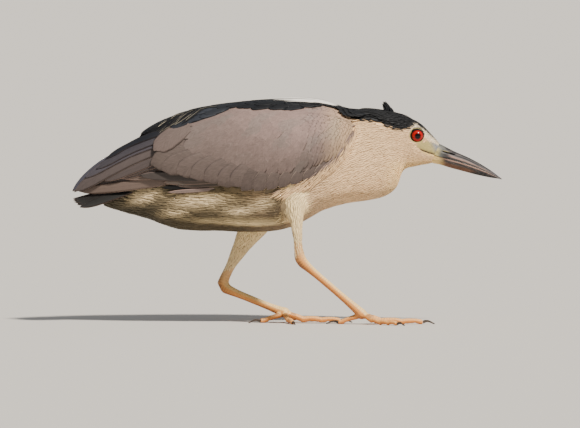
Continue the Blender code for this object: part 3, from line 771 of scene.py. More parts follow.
def featherLook(name, barbs=0.16, shaft=0.2, fringeTone=None, fringeWide=0.9, rough=0.72, mottle=0.12,
                bump=0.3, shine=0.5, cloud=0.3):
    look = Look(name, Roughness=rough, Specular_IOR_Level=shine)
    across, along, luck = look.split(look.attribute("vane", 1))
    aside = abs(across)
    slant = along - aside * barbSpec["slant"]
    wave = (slant * barbSpec["pitch"] + luck * 9).sine() * 0.5 + 0.5
    streak = look.noise(look.add("ShaderNodeCombineXYZ", {}, slant, luck * 37.0, aside * 0.1), 1.5, 2)
    broad = look.noise(look.add("ShaderNodeCombineXYZ", {}, across * 1.3, along * 0.3, luck * 23.0), 0.6, 3)
    quill = (1 - (aside / barbSpec["quill"]).atMost(1.0)) * shaft
    gain = 1 + (streak - 0.5) * barbs * 2 + (luck - 0.5) * mottle * 2 + (broad - 0.5) * cloud - quill
    colour = look.add("ShaderNodeVectorMath", {"operation": "SCALE"}, look.attribute("tone"), Scale=gain)
    if fringeTone is not None:
        pale = look.attribute("fringe", 2) * (1 - look.attribute("edge", 2).ramp(fringeWide * 0.3, fringeWide))
        colour = look.mix(pale, colour, paint(fringeTone))
    return look.finish(Base_Color=colour, Normal=look.bump(wave + broad * 0.6, bump, barbSpec["relief"]))


# Down feathers lie under fine wisps. Each row is by x: gap between roots, length, width and rise of the tips.
# "rise" is how far the black feathers stand over the skin from the crown to the mantle, by x.
bodyCoat = {
    "rise": ((50, 3.2), (66, 4.6), (88, 4.4), (110, 3.0), (120, 2.0), (130, 0)),
    "at": (-190, -140, -60, 0, 50, 80, 104, 118, 132, 142, 150, 158),
    "down": {
        "gap": (5.5, 5.5, 5.2, 5.0, 4.4, 4.0, 3.6, 3.0, 2.6, 2.4, 2.0, 2.0),
        "length": (24, 26, 24, 22, 17, 13, 10, 7, 5.2, 4.0, 3.0, 2.4),
        "width": (10, 10, 9.5, 9, 7.2, 5.8, 4.2, 3.0, 2.6, 2.1, 1.6, 1.3),
        "lift": (0.3, 0.3, 0.25, 0.2, 0.2, 0.15, 0.12, 0.1, 0.1, 0.1, 0.08, 0.08),
        "thigh": {"gap": 3.4, "length": 9, "width": 3.6, "lift": 0.1},
    },
    "wisps": {
        "gap": (2.6, 2.5, 2.4, 2.3, 2.0, 1.8, 1.6, 1.35, 1.2, 1.05, 0.95, 0.9),
        "length": (15, 16, 15, 14, 12, 10.5, 8.5, 6.0, 4.8, 3.6, 2.8, 2.2),
        "width": (2.0, 2.0, 1.9, 1.8, 1.5, 1.35, 1.15, 0.95, 0.85, 0.75, 0.65, 0.6),
        "lift": (0.75, 0.7, 0.5, 0.42, 0.4, 0.36, 0.32, 0.28, 0.26, 0.24, 0.2, 0.16),
        "thigh": {"gap": 1.7, "length": 7.5, "width": 1.05, "lift": 0.35},
    },
}
thighAxes = {-1: ((3, -33, 158), (6.5, -38.5, 137), (9, -39, 114), (10.5, -38, 92), (11.6, -36.5, 78)),
             1: ((-14, 30, 132), (-32, 38, 102), (-45, 41, 80), (-56, 41.5, 60.5), (-62, 40.5, 50))}


def onThigh(spots):  # how far a place belongs to a thigh, and the thigh's direction there
    share = np.zeros(len(spots))
    way = np.zeros((len(spots), 3))
    for side, axis in thighAxes.items():
        axis = np.array(axis, float)
        for a, run, reach in zip(axis[:-1], np.diff(axis, axis=0), (17, 15, 12, 10)):
            t = np.clip((spots - a) @ run / (run @ run), 0, 1)
            gone = np.linalg.norm((spots - a - t[:, None] * run) * (1, 0.8, 1), axis=1)
            here = 1 - soft(gone, reach * 0.7, reach * 1.15)
            here = here * soft(146 - spots[:, 2], 0, 26) * (spots[:, 1] * side > 12)
            way = np.where((here > share)[:, None], unit(run), way)
            share = np.maximum(share, here)
    return share, way


def overCap(spots):  # how far a place lies above the cap's border
    return spots[:, 2] - lineAt(capLine, spots[:, 0])


def bodyLie(spots):
    x, y, z = spots.T
    down = np.interp(x, (-150, -60, 10, 60, 90, 112, 126, 150), (0.02, -0.05, -0.22, -0.42, -0.38, -0.3, -0.22, -0.1))
    down = down * (1 - 0.5 * soft(150 - z, -10, 40) * soft(-x, -30, 30))
    crown = soft(overCap(spots), -4, 4) * soft(x, 60, 100)
    lie = np.stack((-np.ones_like(x), 0.0 * y, down * (1 - crown) + 0.1 * crown), 1)
    cx, _, cz = eyeSpec["centre"]
    ring = np.stack((x - cx, 0 * x, z - cz), 1)
    gone = np.linalg.norm(ring, axis=1)
    lie += ring / (gone[:, None] + 1) * (near(gone, 7, 5) * (x > 110))[:, None] * 0.9
    share, way = onThigh(spots)
    return lie * (1 - share[:, None]) + way * share[:, None]


def wispLie(spots):
    lie = bodyLie(spots)
    size = np.interp(spots[:, 0], (-100, 60, 110, 150), (14, 11, 7, 4))[:, None]
    for axis in range(3):
        lie[:, axis] += 0.06 * ripple(spots / size * 10, 14, 20 + axis)
    return lie


def bodySizes(spots, layer, key):
    leg = onThigh(spots)[0] * soft(132 - spots[:, 2], 0, 40)
    value = np.interp(spots[:, 0], bodyCoat["at"], bodyCoat[layer][key])
    return value * (1 - leg) + bodyCoat[layer]["thigh"][key] * leg


def bodyRoots(spots):  # where these feathers grow: not under the wings, round the eyes or on the lores
    x, y, z = spots.T
    bare = (eyeRing(spots) < 7.9) & (np.abs(y) > 8) & (x > 110)
    bare |= (np.abs(z - lineAt(gapeLine, x) + 0.6) < 1.6) & (x > 134) & (np.abs(y) > 3)
    bare |= loresMask(spots) > 0.4
    bill = x - (z - 173) * 0.35 > 152.5
    return ~((z > lineAt(wingEdge, x)) | bare | bill) & (z > 50)


def coatPiece(name, layer, look, lie, inside, base, **settings):
    roots = coatRoots[layer]
    roots = roots[inside(*roots.T)]
    count = len(roots)
    length, width, lift = (bodySizes(roots, layer, key) for key in ("length", "width", "lift"))
    length = length * chance.uniform(0.75, 1.2, count)
    lift = lift * (1 + 0.35 * ripple(roots, 13, 5)) * chance.uniform(0.7, 1.2, count)
    seen = roots + unit(lie(roots)) * (0.6 * length)[:, None]
    seen[:, 2] += chance.normal(0, 0.4, count)
    tone = plumage(seen) * chance.uniform(0.93, 1.06, (count, 1))
    # the black feathers stand fuller over the crown and nape
    base = base + lineAt(bodyCoat["rise"], roots[:, 0]) * soft(overCap(roots), 0, 8)
    piece = feathers(layer + "_" + name, ground, roots, (length, width, lift, 0.0), tone, chance, lie=lie, base=base,
                     **settings)
    dress(piece, look, "cream_feather")


ground = Ground(skin.data)
chance = np.random.default_rng(11)
creamLook = featherLook("creamFeathers", barbs=0.05, shaft=0.0, mottle=0.06, bump=0.2)
wispLook = featherLook("creamWisps", barbs=0.0, shaft=0.0, mottle=0.08, bump=0.15)
coatRoots = {layer: ground.scatter(chance, lambda spots: bodySizes(spots, layer, "gap"), bodyRoots)
             for layer in ("down", "wisps")}
for part, inside in (("head", lambda x, y, z: x > 112), ("neck", lambda x, y, z: (x > 45) & (x <= 112)),
                     ("body_right", lambda x, y, z: (x <= 45) & (y < 0)),
                     ("body_left", lambda x, y, z: (x <= 45) & (y >= 0))):
    coatPiece(part, "down", creamLook, bodyLie, inside, 0.02, kind="lax", camber=0.02, stray=0.08)
    coatPiece(part, "wisps", wispLook, wispLie, inside, 0.12, camber=0.05, stray=0.05, tuck=0.85, **wispy)


gapeSpec = {"starts": (133.8, 134.2), "length": 17.6, "width": 1.7, "high": 0.5}


def gapeSpines(shares):
    x = np.array(gapeSpec["starts"])[:, None] + gapeSpec["length"] * shares
    y = np.array([[-1.0], [1.0]]) * np.interp(x, (133, 152), (11, 7))
    spine, tilts = ground.settle(np.stack((x, y, lineAt(gapeLine, x)), -1))
    return spine, runOf(spine), tilts


roots = np.array([[x, y, 179] for x, y in zip(gapeSpec["starts"], (-11, 11))])
mouth = feathers("gape_lines", ground, roots, (gapeSpec["length"], gapeSpec["width"], 0.0, 0.0),
                 np.array([tones["mouth"]] * 2), chance, spines=gapeSpines, rows=16, base=gapeSpec["high"], camber=0.05,
                 **wispy)
dress(mouth, wispLook, "bill_horn")


# The lower edge of the wing's coverts.
covertEdge = ((-139, 168), (-120, 157), (-100, 153), (-88, 148), (-70, 142.5), (-54, 143), (-45, 137), (-30, 136.5),
              (-15, 139), (10, 142), (25, 152), (40, 158), (54, 168), (64, 182), (70, 198))


def measuresAt(table, x):  # the smooth measures of a table at every x, one array for each measure
    return np.moveaxis(curved(table, x.ravel()).reshape(*x.shape, -1), -1, 0)


def chartSpines(ground, side, roots, tips, bend):  # spines drawn in side view, laid on the wing
    reach = tips - roots
    across = np.stack((reach[:, 1], -reach[:, 0]), 1)

    def spines(shares):
        flat = roots[:, None] + reach[:, None] * shares[..., None]
        flat = flat + across[:, None] * (bend[:, None] * 4 * shares * (1 - shares))[..., None]
        x = np.clip(flat[..., 0], wingEnds[0] + 0.5, wingEnds[1] - 0.5)
        top, bottom, half = measuresAt(wingLine, x)
        share = np.clip((flat[..., 1] - (top + bottom) / 2) / ((top - bottom) / 2), -0.97, 0.985)
        y = side * half * (1 - np.abs(share) ** wingSpec["round"]) ** (1 / wingSpec["round"])
        z = (top + bottom) / 2 + share * (top - bottom) / 2
        spine, tilts = ground.settle(np.stack((x, y, z), -1))
        return spine, runOf(spine), tilts

    return spines


def columnsOf(specs):  # columns of a list of feathers
    return [np.array(c, float) for c in zip(*specs)]


def laid(name, specs, look, slot, side, ground, seed, kind="long", rows=9, columns=7, rise=0.0, **settings):
    # specs: root x and z, tip x and z, width, base, bend, fringe, tone
    rx, rz, tx, tz, width, base, bend, fringe = columnsOf([s[:8] for s in specs])
    tone = np.array([paint(s[8]) if isinstance(s[8], str) else s[8] for s in specs])
    spines = chartSpines(ground, side, np.stack((rx, rz), 1), np.stack((tx, tz), 1), bend)
    roots = np.stack((rx, np.full(len(rx), side * 40.0), rz), 1)
    piece = feathers(name, ground, roots, (np.hypot(tx - rx, tz - rz), width, rise, fringe), tone,
                     np.random.default_rng(seed), spines=spines, kind=kind, rows=rows, columns=columns, base=base,
                     **settings)
    return dress(piece, look, slot)


greyLook = featherLook("greyCoverts", barbs=0.45, shaft=0.06, fringeTone="b8a294", fringeWide=1.1, mottle=0.02,
                       cloud=0.6, bump=0.4, rough=0.8, shine=0.3)
flightLook = featherLook("flightFeathers", barbs=0.2, shaft=0.3, fringeTone="a5887c", fringeWide=0.75, mottle=0.05,
                         rough=0.65, bump=0.3, shine=0.35)
# the black feathers' pale fringe colour is painted glints of light on their edges
blackLook = featherLook("blackFeathers", barbs=0.3, shaft=0.1, fringeTone="e6dcc4", fringeWide=0.5, mottle=0.1,
                        rough=0.55, bump=0.35, shine=0.3)


def tertials(side):  # from the innermost to the outermost
    far = 1.0 if side > 0 else 0.0
    return [
        (-134, 191 - 5 * far, -219.2, 135.2 - far, 14, -0.6, 0.085, 0.3, "42414b"),
        (-108, 164, -164, 149, 9, -2.4, 0.0, 0.7, "3a3330"),
        (-108, 168, -172, 148.6, 9, -1.8, 0.0, 0.7, "423936"),
        (-108, 173, -178, 148.4, 9.5, -1.2, 0.0, 0.7, "453c39"),
        (-108, 178, -186, 145.6, 10.5, -0.6, 0.01, 0.7, "4a413f"),
        (-104, 189, -217, 134.0, 17, 0.0, 0.05, 0.4, "504745"),
        (-106, 193, -206, 148, 13, 0.6, 0.055, 0.35, "454147"),
        (-104, 197, -194, 157, 12, 1.2, 0.05, 0.25, "3b383d" if side < 0 else "484146"),
        (-108, 201, -184, 166.8, 9, 1.8, 0.05, 0.15, "12141b"),
    ]


primaries = (
    # the first, near-black strip is painted shadow in the gap under the coverts, not a black feather
    (-58, 141, -128, 139, 6, -2.6, 0.0, 0.0, "060606"),
    (-62, 138.2, -122, 134.2, 4.2, -2.2, 0.0, 0.7, "7d6c66"),
    (-106, 154, -214, 137.5, 15, -3.2, 0.0, 0.4, "413937"),
    (-110, 147.6, -213.2, 134.6, 11.5, -2.7, 0.0, 0.7, "66574f"),
    (-112, 150, -167, 148, 4, -2.2, 0.0, 0.6, "66574f"),
    (-50, 145, -113, 141.5, 7, -2.0, 0.0, 0.4, "453c36"),
    (-52, 148, -126, 144.2, 7, -1.6, 0.0, 0.6, "50463f"),
    (-56, 149.5, -151, 151.6, 10.5, -1.0, 0.0, 0.25, "423b38"),
)


# Narrow black feathers over the wing's rear, with pale edges painted as glints of light. The lines are the lowest and
# highest tips.
scapularSpec = {"many": 26, "first": -168, "run": 66, "length": 30, "longer": 8, "seed": 31, "plain": -139,
                "low": ((-168, 180.5), (-137, 191), (-119, 199.5), (-100, 204)),
                "high": ((-168, 182), (-137, 197), (-119, 206), (-100, 212))}


def scapulars():
    loose = np.random.default_rng(scapularSpec["seed"])
    specs = []
    for i in range(scapularSpec["many"]):
        share = i / (scapularSpec["many"] - 1)
        x = scapularSpec["first"] + scapularSpec["run"] * share + loose.uniform(-2, 2)
        low, high = lineAt(scapularSpec["low"], x), lineAt(scapularSpec["high"], x)
        z = low + (high - low) * (0.5 + 0.5 * math.sin(i * 2.4))
        length = scapularSpec["length"] + scapularSpec["longer"] * share
        # the fringe share paints pale glints of light on the edges, none on the rearmost feathers
        specs.append((x + length * 0.86, z + length * 0.5, x, z, loose.uniform(4, 5.4), 2.0 + 0.5 * share + 0.02 * i,
                      0.04, max(0.0, loose.uniform(-1.0, 0.9)) * (x > scapularSpec["plain"]), "0a0b0e"))
    return specs


# The greater coverts, from the rear forwards: the tip's x and z, the angle, length and width. The last lies on top.
coverTips = ((-134.5, 176, 36, 58, 27), (-138.5, 163.5, 12, 56, 24), (-127, 157.5, 16, 54, 22),
             (-112, 154.5, 20, 52, 22), (-98, 150.5, 24, 52, 22), (-84, 147, 28, 50, 22), (-70, 142.5, 33, 48, 22),
             (-57, 142, 38, 46, 20), (-46, 137, 47, 46, 19), (-33, 136.5, 50, 42, 17), (-20, 138, 50, 40, 15),
             (-8, 140.5, 48, 38, 14), (4, 143.5, 46, 34, 12), (16, 148, 44, 30, 11), (27, 153, 42, 26, 10),
             (38, 158, 44, 22, 9), (-116, 171, 26, 46, 30))


def greaterCoverts():
    specs = []
    for i, (x, z, angle, length, width) in enumerate(coverTips):
        a = math.radians(angle)
        # The lower greater coverts take more of the low covert colour, partly the feathers' grey and partly painted
        # shade.
        low = np.interp(i, (0, 1, 3, 7, 8), (0.3, 0.8, 0.5, 0.45, 0.55))
        # feather 8 is darkened by 0.9 as a painted shadow at the lobe's lower edge
        tone = blendTone(tones["covert"], tones["lowCovert"], low) * (0.9 if i == 8 else 1)
        base = 1.0 if i == 16 else np.interp(i, (0, 1, 8, 15), (2.35, 2.1, 1.7, 1.1))
        root = (x + length * math.cos(a), z + length * math.sin(a))
        specs.append((*root, x, z, width, base, 0.03, 0.05 if i < 8 else 0.5, tone))
    return specs[::-1]


for side, hand in sides:
    laid("primaries_" + hand, primaries, flightLook, "grey_feather", side, wingGround, 3, camber=0.01, fray=0.0,
         dive=3.0)
    piece = laid("tertials_" + hand, tertials(side), flightLook, "grey_feather", side, wingGround, 4, camber=0.012,
                 fray=0.0, rows=14, dive=3.0)
    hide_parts("flight_" + hand)
    laid("scapulars_" + hand, scapulars(), blackLook, "black_feather", side, coverGround, 6, camber=0.04, fray=0.02,
         kind="lance", dive=1.0)
    laid("greater_coverts_" + hand, greaterCoverts(), greyLook, "grey_feather", side, coverGround, 5, kind="round",
         rows=16, columns=9, rise=0.12, camber=0.008, fray=0.0, dive=2.2)

covertSpec = {  # by how far back a covert grows, from the shoulder (0) to the rear (1)
    "at": (0, 0.15, 0.4, 0.7, 1),
    "gap": (2.4, 3.2, 4.8, 7.0, 8.6),
    "length": (10, 15, 24, 34, 40),
    "width": (4.5, 7, 13, 19, 23),
    "lift": (0.06, 0.06, 0.08, 0.1, 0.12),
    "leftDive": 0.9,  # the left wing is seen against the light, so its feathers' roots lie deeper
}


def covertShare(spots):
    return np.clip((62 - spots[:, 0]) / 190 * 0.85 + (205 - spots[:, 2]) / 70 * 0.3, 0, 1)


def covertSize(key):
    return lambda spots: np.interp(covertShare(spots), covertSpec["at"], covertSpec[key])


def covertRoots(spots):  # their tips leave the lowest and rearmost feathers bare
    x, y, z = spots.T
    length = covertSize("length")(spots)
    angle = wingAngle(spots)
    tipX, tipZ = x - length * np.cos(angle), z - length * np.sin(angle)
    low = lineAt(covertEdge, tipX) + np.interp(tipX, (-110, -50, 0, 35, 60), (13, 12, 10, 7, 3))
    high = lineAt(backEdge, x) + 5
    return (tipZ > low) & (z < high) & (tipX > -114 + 0.4 * np.abs(tipZ - 186)) & (x < 68) & (np.abs(y) > 12)


def wingAngle(spots):  # how steeply the coverts point down
    angle = np.interp(spots[:, 0], (-140, -90, -40, 0, 30, 60), (14, 26, 40, 50, 56, 60))
    return np.radians(angle * (1 - 0.35 * soft(spots[:, 2], 185, 212)))


def downwards(angle):  # directions to the rear, so steeply down
    return np.stack((-np.cos(angle), 0 * angle, -np.sin(angle)), 1)


def covertTone(spots):
    x, y, z = spots.T
    # The coverts darken towards the wing's lower edge, partly the feathers' grey and partly painted shade; they turn
    # cream towards the front.
    return wash(tones["lesser"], tones, ("covert", soft(covertShare(spots), 0.1, 0.8)),
                ("lowCovert", 0.75 * (1 - soft(z - lineAt(covertEdge, x), 10, 50))), ("cream", soft(x, 30, 62) * 0.35))


def covertBase(roots):  # lower where the wing meets the breast
    return np.interp(roots[:, 0], (-60, 20, 50, 66), (1.15, 1.0, 0.6, 0.1))


every = coverGround.scatter(chance, covertSize("gap"), covertRoots)
every = every[np.argsort(every[:, 0])]
for side, hand in sides:
    roots = every[every[:, 1] * side > 0]
    sizes = [covertSize(key)(roots) * chance.uniform(0.92, 1.08, len(roots)) for key in ("length", "width", "lift")]
    mottle = 1 + 0.09 * ripple(roots * (0.6, 1, 1), 30, 9) + 0.05 * ripple(roots, 11, 12)
    tone = covertTone(roots) * (mottle * chance.uniform(0.985, 1.015, len(roots)))[:, None]
    tone[:, 0] *= 1 - 0.09 * soft(ripple(roots * (0.8, 1, 1), 26, 51), 0, 0.8)
    piece = feathers("coverts_" + hand, coverGround, roots, (*sizes, 0.0), tone, chance, kind="covert", rows=9,
                     columns=7, lie=lambda spots: downwards(wingAngle(spots)), fray=0.0, base=covertBase(roots),
                     camber=0.006, tuck=1.0, dive=covertSpec["leftDive"] * (side > 0), stray=0.04)
    dress(piece, greyLook, "grey_feather")


def backRoots(spots):
    x, y, z = spots.T
    low = lineAt(backEdge, x) + np.interp(x, (-120, -90), (-1, 3))
    low = np.maximum(low, np.where(x > 52, lineAt(capLine, x) + 2, 0))
    return (z > low) & (x > -148) & (x < 80)


def backLie(spots):
    x, y, z = spots.T
    drop = np.interp(x, (-150, -100, 0, 70), (0.5, 0.25, 0.08, 0.02))
    return np.stack((-np.ones_like(x), 0.12 * y / 20, -drop), 1)


backSpec = {
    "gap": ((-150, 6.5), (0, 5.5), (70, 3.2)),
    "scale": ((-150, 1.25), (-60, 1.1), (20, 0.9), (70, 0.5)),
    "base": ((-150, 1.3), (48, 1.4), (62, 2.6), (72, 3.9), (80, 4.0)),  # higher towards the nape
    "length": 24,
    "width": 9.5,
    "lift": 0.35,
}
roots = coverGround.scatter(chance, lambda spots: lineAt(backSpec["gap"], spots[:, 0]), backRoots)
x, y, z = roots.T
scale = lineAt(backSpec["scale"], x) * chance.uniform(0.9, 1.1, len(roots))
# painted glints of light on the edges of the back's rear feathers
pale = soft(-x, 84, 116) * np.maximum(0, chance.uniform(-1.2, 0.6, len(roots))) * (x > -122)
# a painted blue sheen on the black back, where light catches the glossy feathers
tone = wash(tones["mantle"], tones, ("scapular", chance.random(len(roots))),
            ("gloss", 0.8 * near(x, -74, 24) * (np.abs(y) > 9)))
base = lineAt(backSpec["base"], x) + chance.uniform(0, 0.3, len(roots))
sizes = (backSpec["length"] * scale, backSpec["width"] * scale, backSpec["lift"], pale)
piece = feathers("back", coverGround, roots, sizes, tone, chance, lie=backLie, kind="long", rows=6, fray=0.05,
                 base=base, camber=0.03, stray=0.05)
dress(piece, blackLook, "black_feather", "mantle")

# The tail. Rows: x, height of its ridge, how far its sides drop, half width.
tailLine = ((-219.5, 126.6, 3.5, 8), (-216, 127.4, 9, 16), (-208, 129.2, 12.5, 22), (-190, 133.5, 12.5, 23.5),
            (-165, 140.5, 10, 21.5), (-140, 147.5, 7, 17), (-118, 153, 5, 12))
tailSpec = {"feathers": 12, "rows": 12, "columns": 7, "width": 13, "length": 98, "root": -116, "spread": 0.86,
            "gap": 0.35}


def tailSpines(up):  # each feather fans from the rump; its place is a share of the tail's half width
    fan = np.linspace(-tailSpec["spread"], tailSpec["spread"], tailSpec["feathers"])[:, None]
    order = np.abs(fan)

    def spines(shares):
        reach = np.interp(order, (0, 0.5, tailSpec["spread"]), (-219, -217.5, -211))
        x = tailSpec["root"] + (reach - tailSpec["root"]) * shares
        ridge, drop, half = measuresAt(tailLine, x)
        narrow = np.interp(x, (-219.5, -205, -116), (22.5, 22.5, 11.5))
        y = fan * narrow
        z = ridge - drop * np.clip(np.abs(y) / np.maximum(half, narrow), 0, 1) ** 1.7
        spine = np.stack((x, y, z + tailSpec["gap"] * (1 - order) * up), -1)
        slope = 1.7 * drop / np.maximum(half, narrow) * order**0.7 * np.sign(fan)
        tilts = unit(np.stack((0 * x, slope, np.ones_like(x)), -1))
        return spine, runOf(spine), square(tilts, runOf(spine)) * up

    return spines


count = tailSpec["feathers"]
for name, up, seed, gain in (("tail_upper", 1, 9, 1), ("tail_under", -1, 8, 0.8)):
    loose = np.random.default_rng(seed)
    roots = np.stack((np.full(count, float(tailSpec["root"])), np.linspace(-10, 10, count), np.full(count, 150.0)), 1)
    # The tail's colour is its grey painted near-black as shade; the under side, with gain 0.8, is painted darker still
    # as shade.
    tone = np.tile(tones["tail"], (count, 1)) * loose.uniform(0.9, 1.1, (count, 1)) * gain
    piece = feathers(name, Open(), roots, (tailSpec["length"], tailSpec["width"], 0.0, 0.4), tone, loose,
                     spines=tailSpines(up), kind="long", rows=tailSpec["rows"], columns=tailSpec["columns"], base=0.3,
                     camber=0.05, fray=0.0, free=True)
    dress(piece, flightLook, "grey_feather", *(("tail",) if up > 0 else ()))

# Streaks of cream over the front of the wing.
streakLine = ((-20, 135), (5, 139), (25, 147), (40, 159), (54, 170), (64, 184), (72, 204))
streakSpec = {"gap": 1.9, "length": 12, "width": 1.3, "lift": 0.5}


def streakOver(spots):
    return spots[:, 2] - lineAt(streakLine, spots[:, 0])


def streakRoots(spots):
    x, y, z = spots.T
    over = streakOver(spots)
    high = np.interp(x, (0, 30, 60), (0.5, 4, 7)) + 2 * np.sin(x * 0.7)
    return (over > -5) & (over < high) & (x > -8) & (x < 70) & (np.abs(y) > 16)


def streakLie(spots):
    return downwards(np.radians(np.interp(spots[:, 0], (-20, 20, 60), (30, 42, 56))))


roots = coverGround.scatter(chance, lambda spots: np.full(len(spots), streakSpec["gap"]), streakRoots)
tone = blendTone(tones["cream"], tones["lesser"], soft(streakOver(roots) + chance.normal(0, 1.5, len(roots)), 1, 7))
tone = tone * chance.uniform(0.9, 1.05, (len(roots), 1))
sizes = (streakSpec["length"] * chance.uniform(0.7, 1.2, len(roots)), streakSpec["width"], streakSpec["lift"], 0)
piece = feathers("wing_streaks", coverGround, roots, sizes, tone, chance, lie=streakLie, base=covertBase(roots) + 0.35,
                 camber=0.08, stray=0.08, tuck=0.8, **wispy)
dress(piece, wispLook, "cream_feather")

billSpec = {
    "base": (152.0, 0.0, 173.0),
    "droop": math.radians(21.8),
    # along, culmen, gape, chin, half width
    "rows": ((-5, 10.2, -2.2, -10.0, 7.8), (0, 10.6, -1.8, -10.2, 8.2), (8, 9.9, -0.8, -8.8, 7.2),
             (16, 9.2, 0.2, -8.2, 6.4), (33, 8.6, 1.8, -6.2, 5.0), (50, 6.5, 2.1, -4.0, 3.6), (62, 4.0, 1.4, -1.7, 2.4),
             (69, 2.0, 0.9, 0.0, 1.3), (72.75, 0.95, 0.8, 0.5, 0.35)),
    "slit": ((5, 4.7), (18, 6.2)),
    "across": 72,
    "along": 92,
    "wrap": (0.84, 0.16),  # the shares of the way round that are outer face and palate
    "upper": {"length": 77.75, "drop": 0, "wide": 1, "side": 0.85, "ridge": 0.9, "hollow": 0.2},
    "lower": {"length": 77.0, "drop": 0.1, "wide": 0.94, "side": 0.8, "ridge": 0.85, "hollow": 0.12},
}
billTones = palette(slate="232327", culmen="1d1d20", pink="c49c8b", base="5f615c", skin="b5a56a", tip="45454b",
                    slit="050505", lower="3a312b", orange="66422c", cream="e3c27c", dark="18191c")


def billOut(along, y, rise):  # from the bill's own frame to the bird's
    c, s = math.cos(billSpec["droop"]), math.sin(billSpec["droop"])
    bx, _, bz = billSpec["base"]
    return np.stack((bx + along * c + rise * s, y, bz + rise * c - along * s), 1)


def billIn(spots):
    c, s = math.cos(billSpec["droop"]), math.sin(billSpec["droop"])
    x, z = spots[:, 0] - billSpec["base"][0], spots[:, 2] - billSpec["base"][2]
    return x * c - z * s, x * s + z * c


def slitRise(along, rise):  # how far a place lies above the nostril's slit, and whether it is beside the slit
    (a, low), (b, high) = billSpec["slit"]
    above = rise - np.interp(along, (a, b), (low, high))
    return above, soft(along, a - 0.8, a + 1) * (1 - soft(along, b - 1.6, b + 0.8))


def upperRelief(along, rise, y, gape, culmen):  # the groove, the nostril's slit and the lip
    share = (rise - gape) / (culmen - gape)
    groove = 0.45 * near(share, 0.56, 0.13) * soft(along, 1, 7) * (1 - soft(along, 36, 62))
    above, beside = slitRise(along, rise)
    groove = groove + (1.5 * near(above, 0, 0.45) - 0.3 * near(above, 1.0, 0.45)) * beside
    lip = 0.16 * near(share, 0.05, 0.08) - 0.12 * near(share, 0.2, 0.07)
    return y - np.sign(y) * np.minimum(groove - lip * soft(along, 0, 8), np.abs(y) * 0.6)


def lowerRelief(along, rise, y, top, chin):
    share = (rise - chin) / (top - chin)
    lip = 0.14 * near(share, 0.93, 0.06) - 0.14 * near(share, 0.74, 0.1)
    return y + np.sign(y) * np.minimum(lip, 0.3) * soft(along, 4, 12)


def jaw(half, ends, relief):  # wraps one half of the bill: its outer face, then its palate
    spec, (outer, inner) = billSpec[half], billSpec["wrap"]

    def shape(s, v):
        along = -5 + spec["length"] * v
        measures = measuresAt(billSpec["rows"], along)
        edge, far, half = measures[1] - spec["drop"], measures[ends], measures[3] * spec["wide"]
        turn = np.pi * np.clip(s / outer, 0, 1)
        c = -np.cos(turn)
        rise = edge + (far - edge) * np.sin(turn) ** spec["ridge"]
        y = relief(along, rise, half * np.sign(c) * np.abs(c) ** spec["side"], edge, far)
        palate = np.clip((s - outer) / inner, 0, 1)
        y = np.where(s > outer, half * (1 - 2 * palate), y)
        rise = np.where(s > outer, edge + spec["hollow"] * (far - edge) * 4 * palate * (1 - palate), rise)
        end = (v < 1e-6) | (v > 1 - 1e-6)
        return billOut(along, np.where(end, 0, y), np.where(end, (edge + far) / 2, rise))

    return shape


def upperBillTone(spots):
    along, rise = billIn(spots)
    culmen, gape, _, _ = measuresAt(billSpec["rows"], along)
    share = (rise - gape) / (culmen - gape)
    above, beside = slitRise(along, rise)
    return wash(
        billTones["slate"], billTones, ("culmen", soft(share, 0.7, 0.95)), ("tip", soft(along, 54, 70)),
        ("pink", 0.75 * soft(along, 9, 18) * near(share, 0.3, 0.055) * (1 - 0.7 * soft(along, 46, 64))),
        ("slit", 0.95 * soft(along, 2, 10) * (1 - soft(share, 0.13, 0.21))),
        ("pink", 0.4 * near(share, 0.42, 0.05) * soft(along, 10, 16) * (1 - soft(along, 30, 44))),
        ("base", 1 - soft(along, 2, 10)), ("skin", (1 - soft(along, -1, 5)) * (1 - soft(share, 0.5, 0.8))),
        ("skin", 0.7 * near(above, 1.0, 0.4) * beside * (1 - soft(along, 9, 13))),
        ("slit", near(above, 0, 0.55) * beside))


def lowerBillTone(spots):
    along, rise = billIn(spots)
    _, gape, chin, _ = measuresAt(billSpec["rows"], along)
    share = (rise - chin) / (gape - chin)
    return wash(
        billTones["orange"], billTones, ("lower", soft(share, 0.25, 0.6)),
        ("dark", soft(along + 12 * (1 - share), 44, 56)),
        ("slate", 0.8 * near(share, 0.68, 0.11) * soft(along, 8, 16)), ("tip", soft(along, 64, 70)),
        ("pink", soft(along, 4, 14) * near(share, 0.88, 0.055)), ("cream", 1 - soft(along + (share - 0.5) * 5, 1, 13)))


def billLook():
    look = Look("billHorn", Specular_IOR_Level=0.35)
    turn = (0, billSpec["droop"], 0)
    streak = look.noise(look.place(billSpec["base"], (0.13, 1.1, 1.1), turn), 1.0, 4, 0.65)
    speck = look.noise(look.place(billSpec["base"], (0.6, 1.6, 1.6), turn), 1.0, 3, 0.6)
    colour = look.stain(look.attribute("tone"), (streak.ramp(0.5, 0.68) * 0.16, "a8968d"),
                        ((1 - streak.ramp(0.34, 0.5)) * 0.4, "0f0e0e"), (speck.ramp(0.56, 0.7) * 0.12, "b8aaa2"))
    bump = look.bump(streak + speck * 0.4, 0.35, 0.12)
    return look.finish(Base_Color=colour, Roughness=0.42 + speck * 0.25, Normal=bump)


hornLook = billLook()
for name, half, ends, relief, toneOf in (("bill_top", "upper", 0, upperRelief, upperBillTone),
                                         ("bill_bottom", "lower", 2, lowerRelief, lowerBillTone)):
    piece = sheet(name, billSpec["across"], billSpec["along"], jaw(half, ends, relief))
    paintSpots(piece.data, toneOf(spotsOf(piece.data)))
    dress(piece, hornLook, "bill_horn", "bill_" + half)

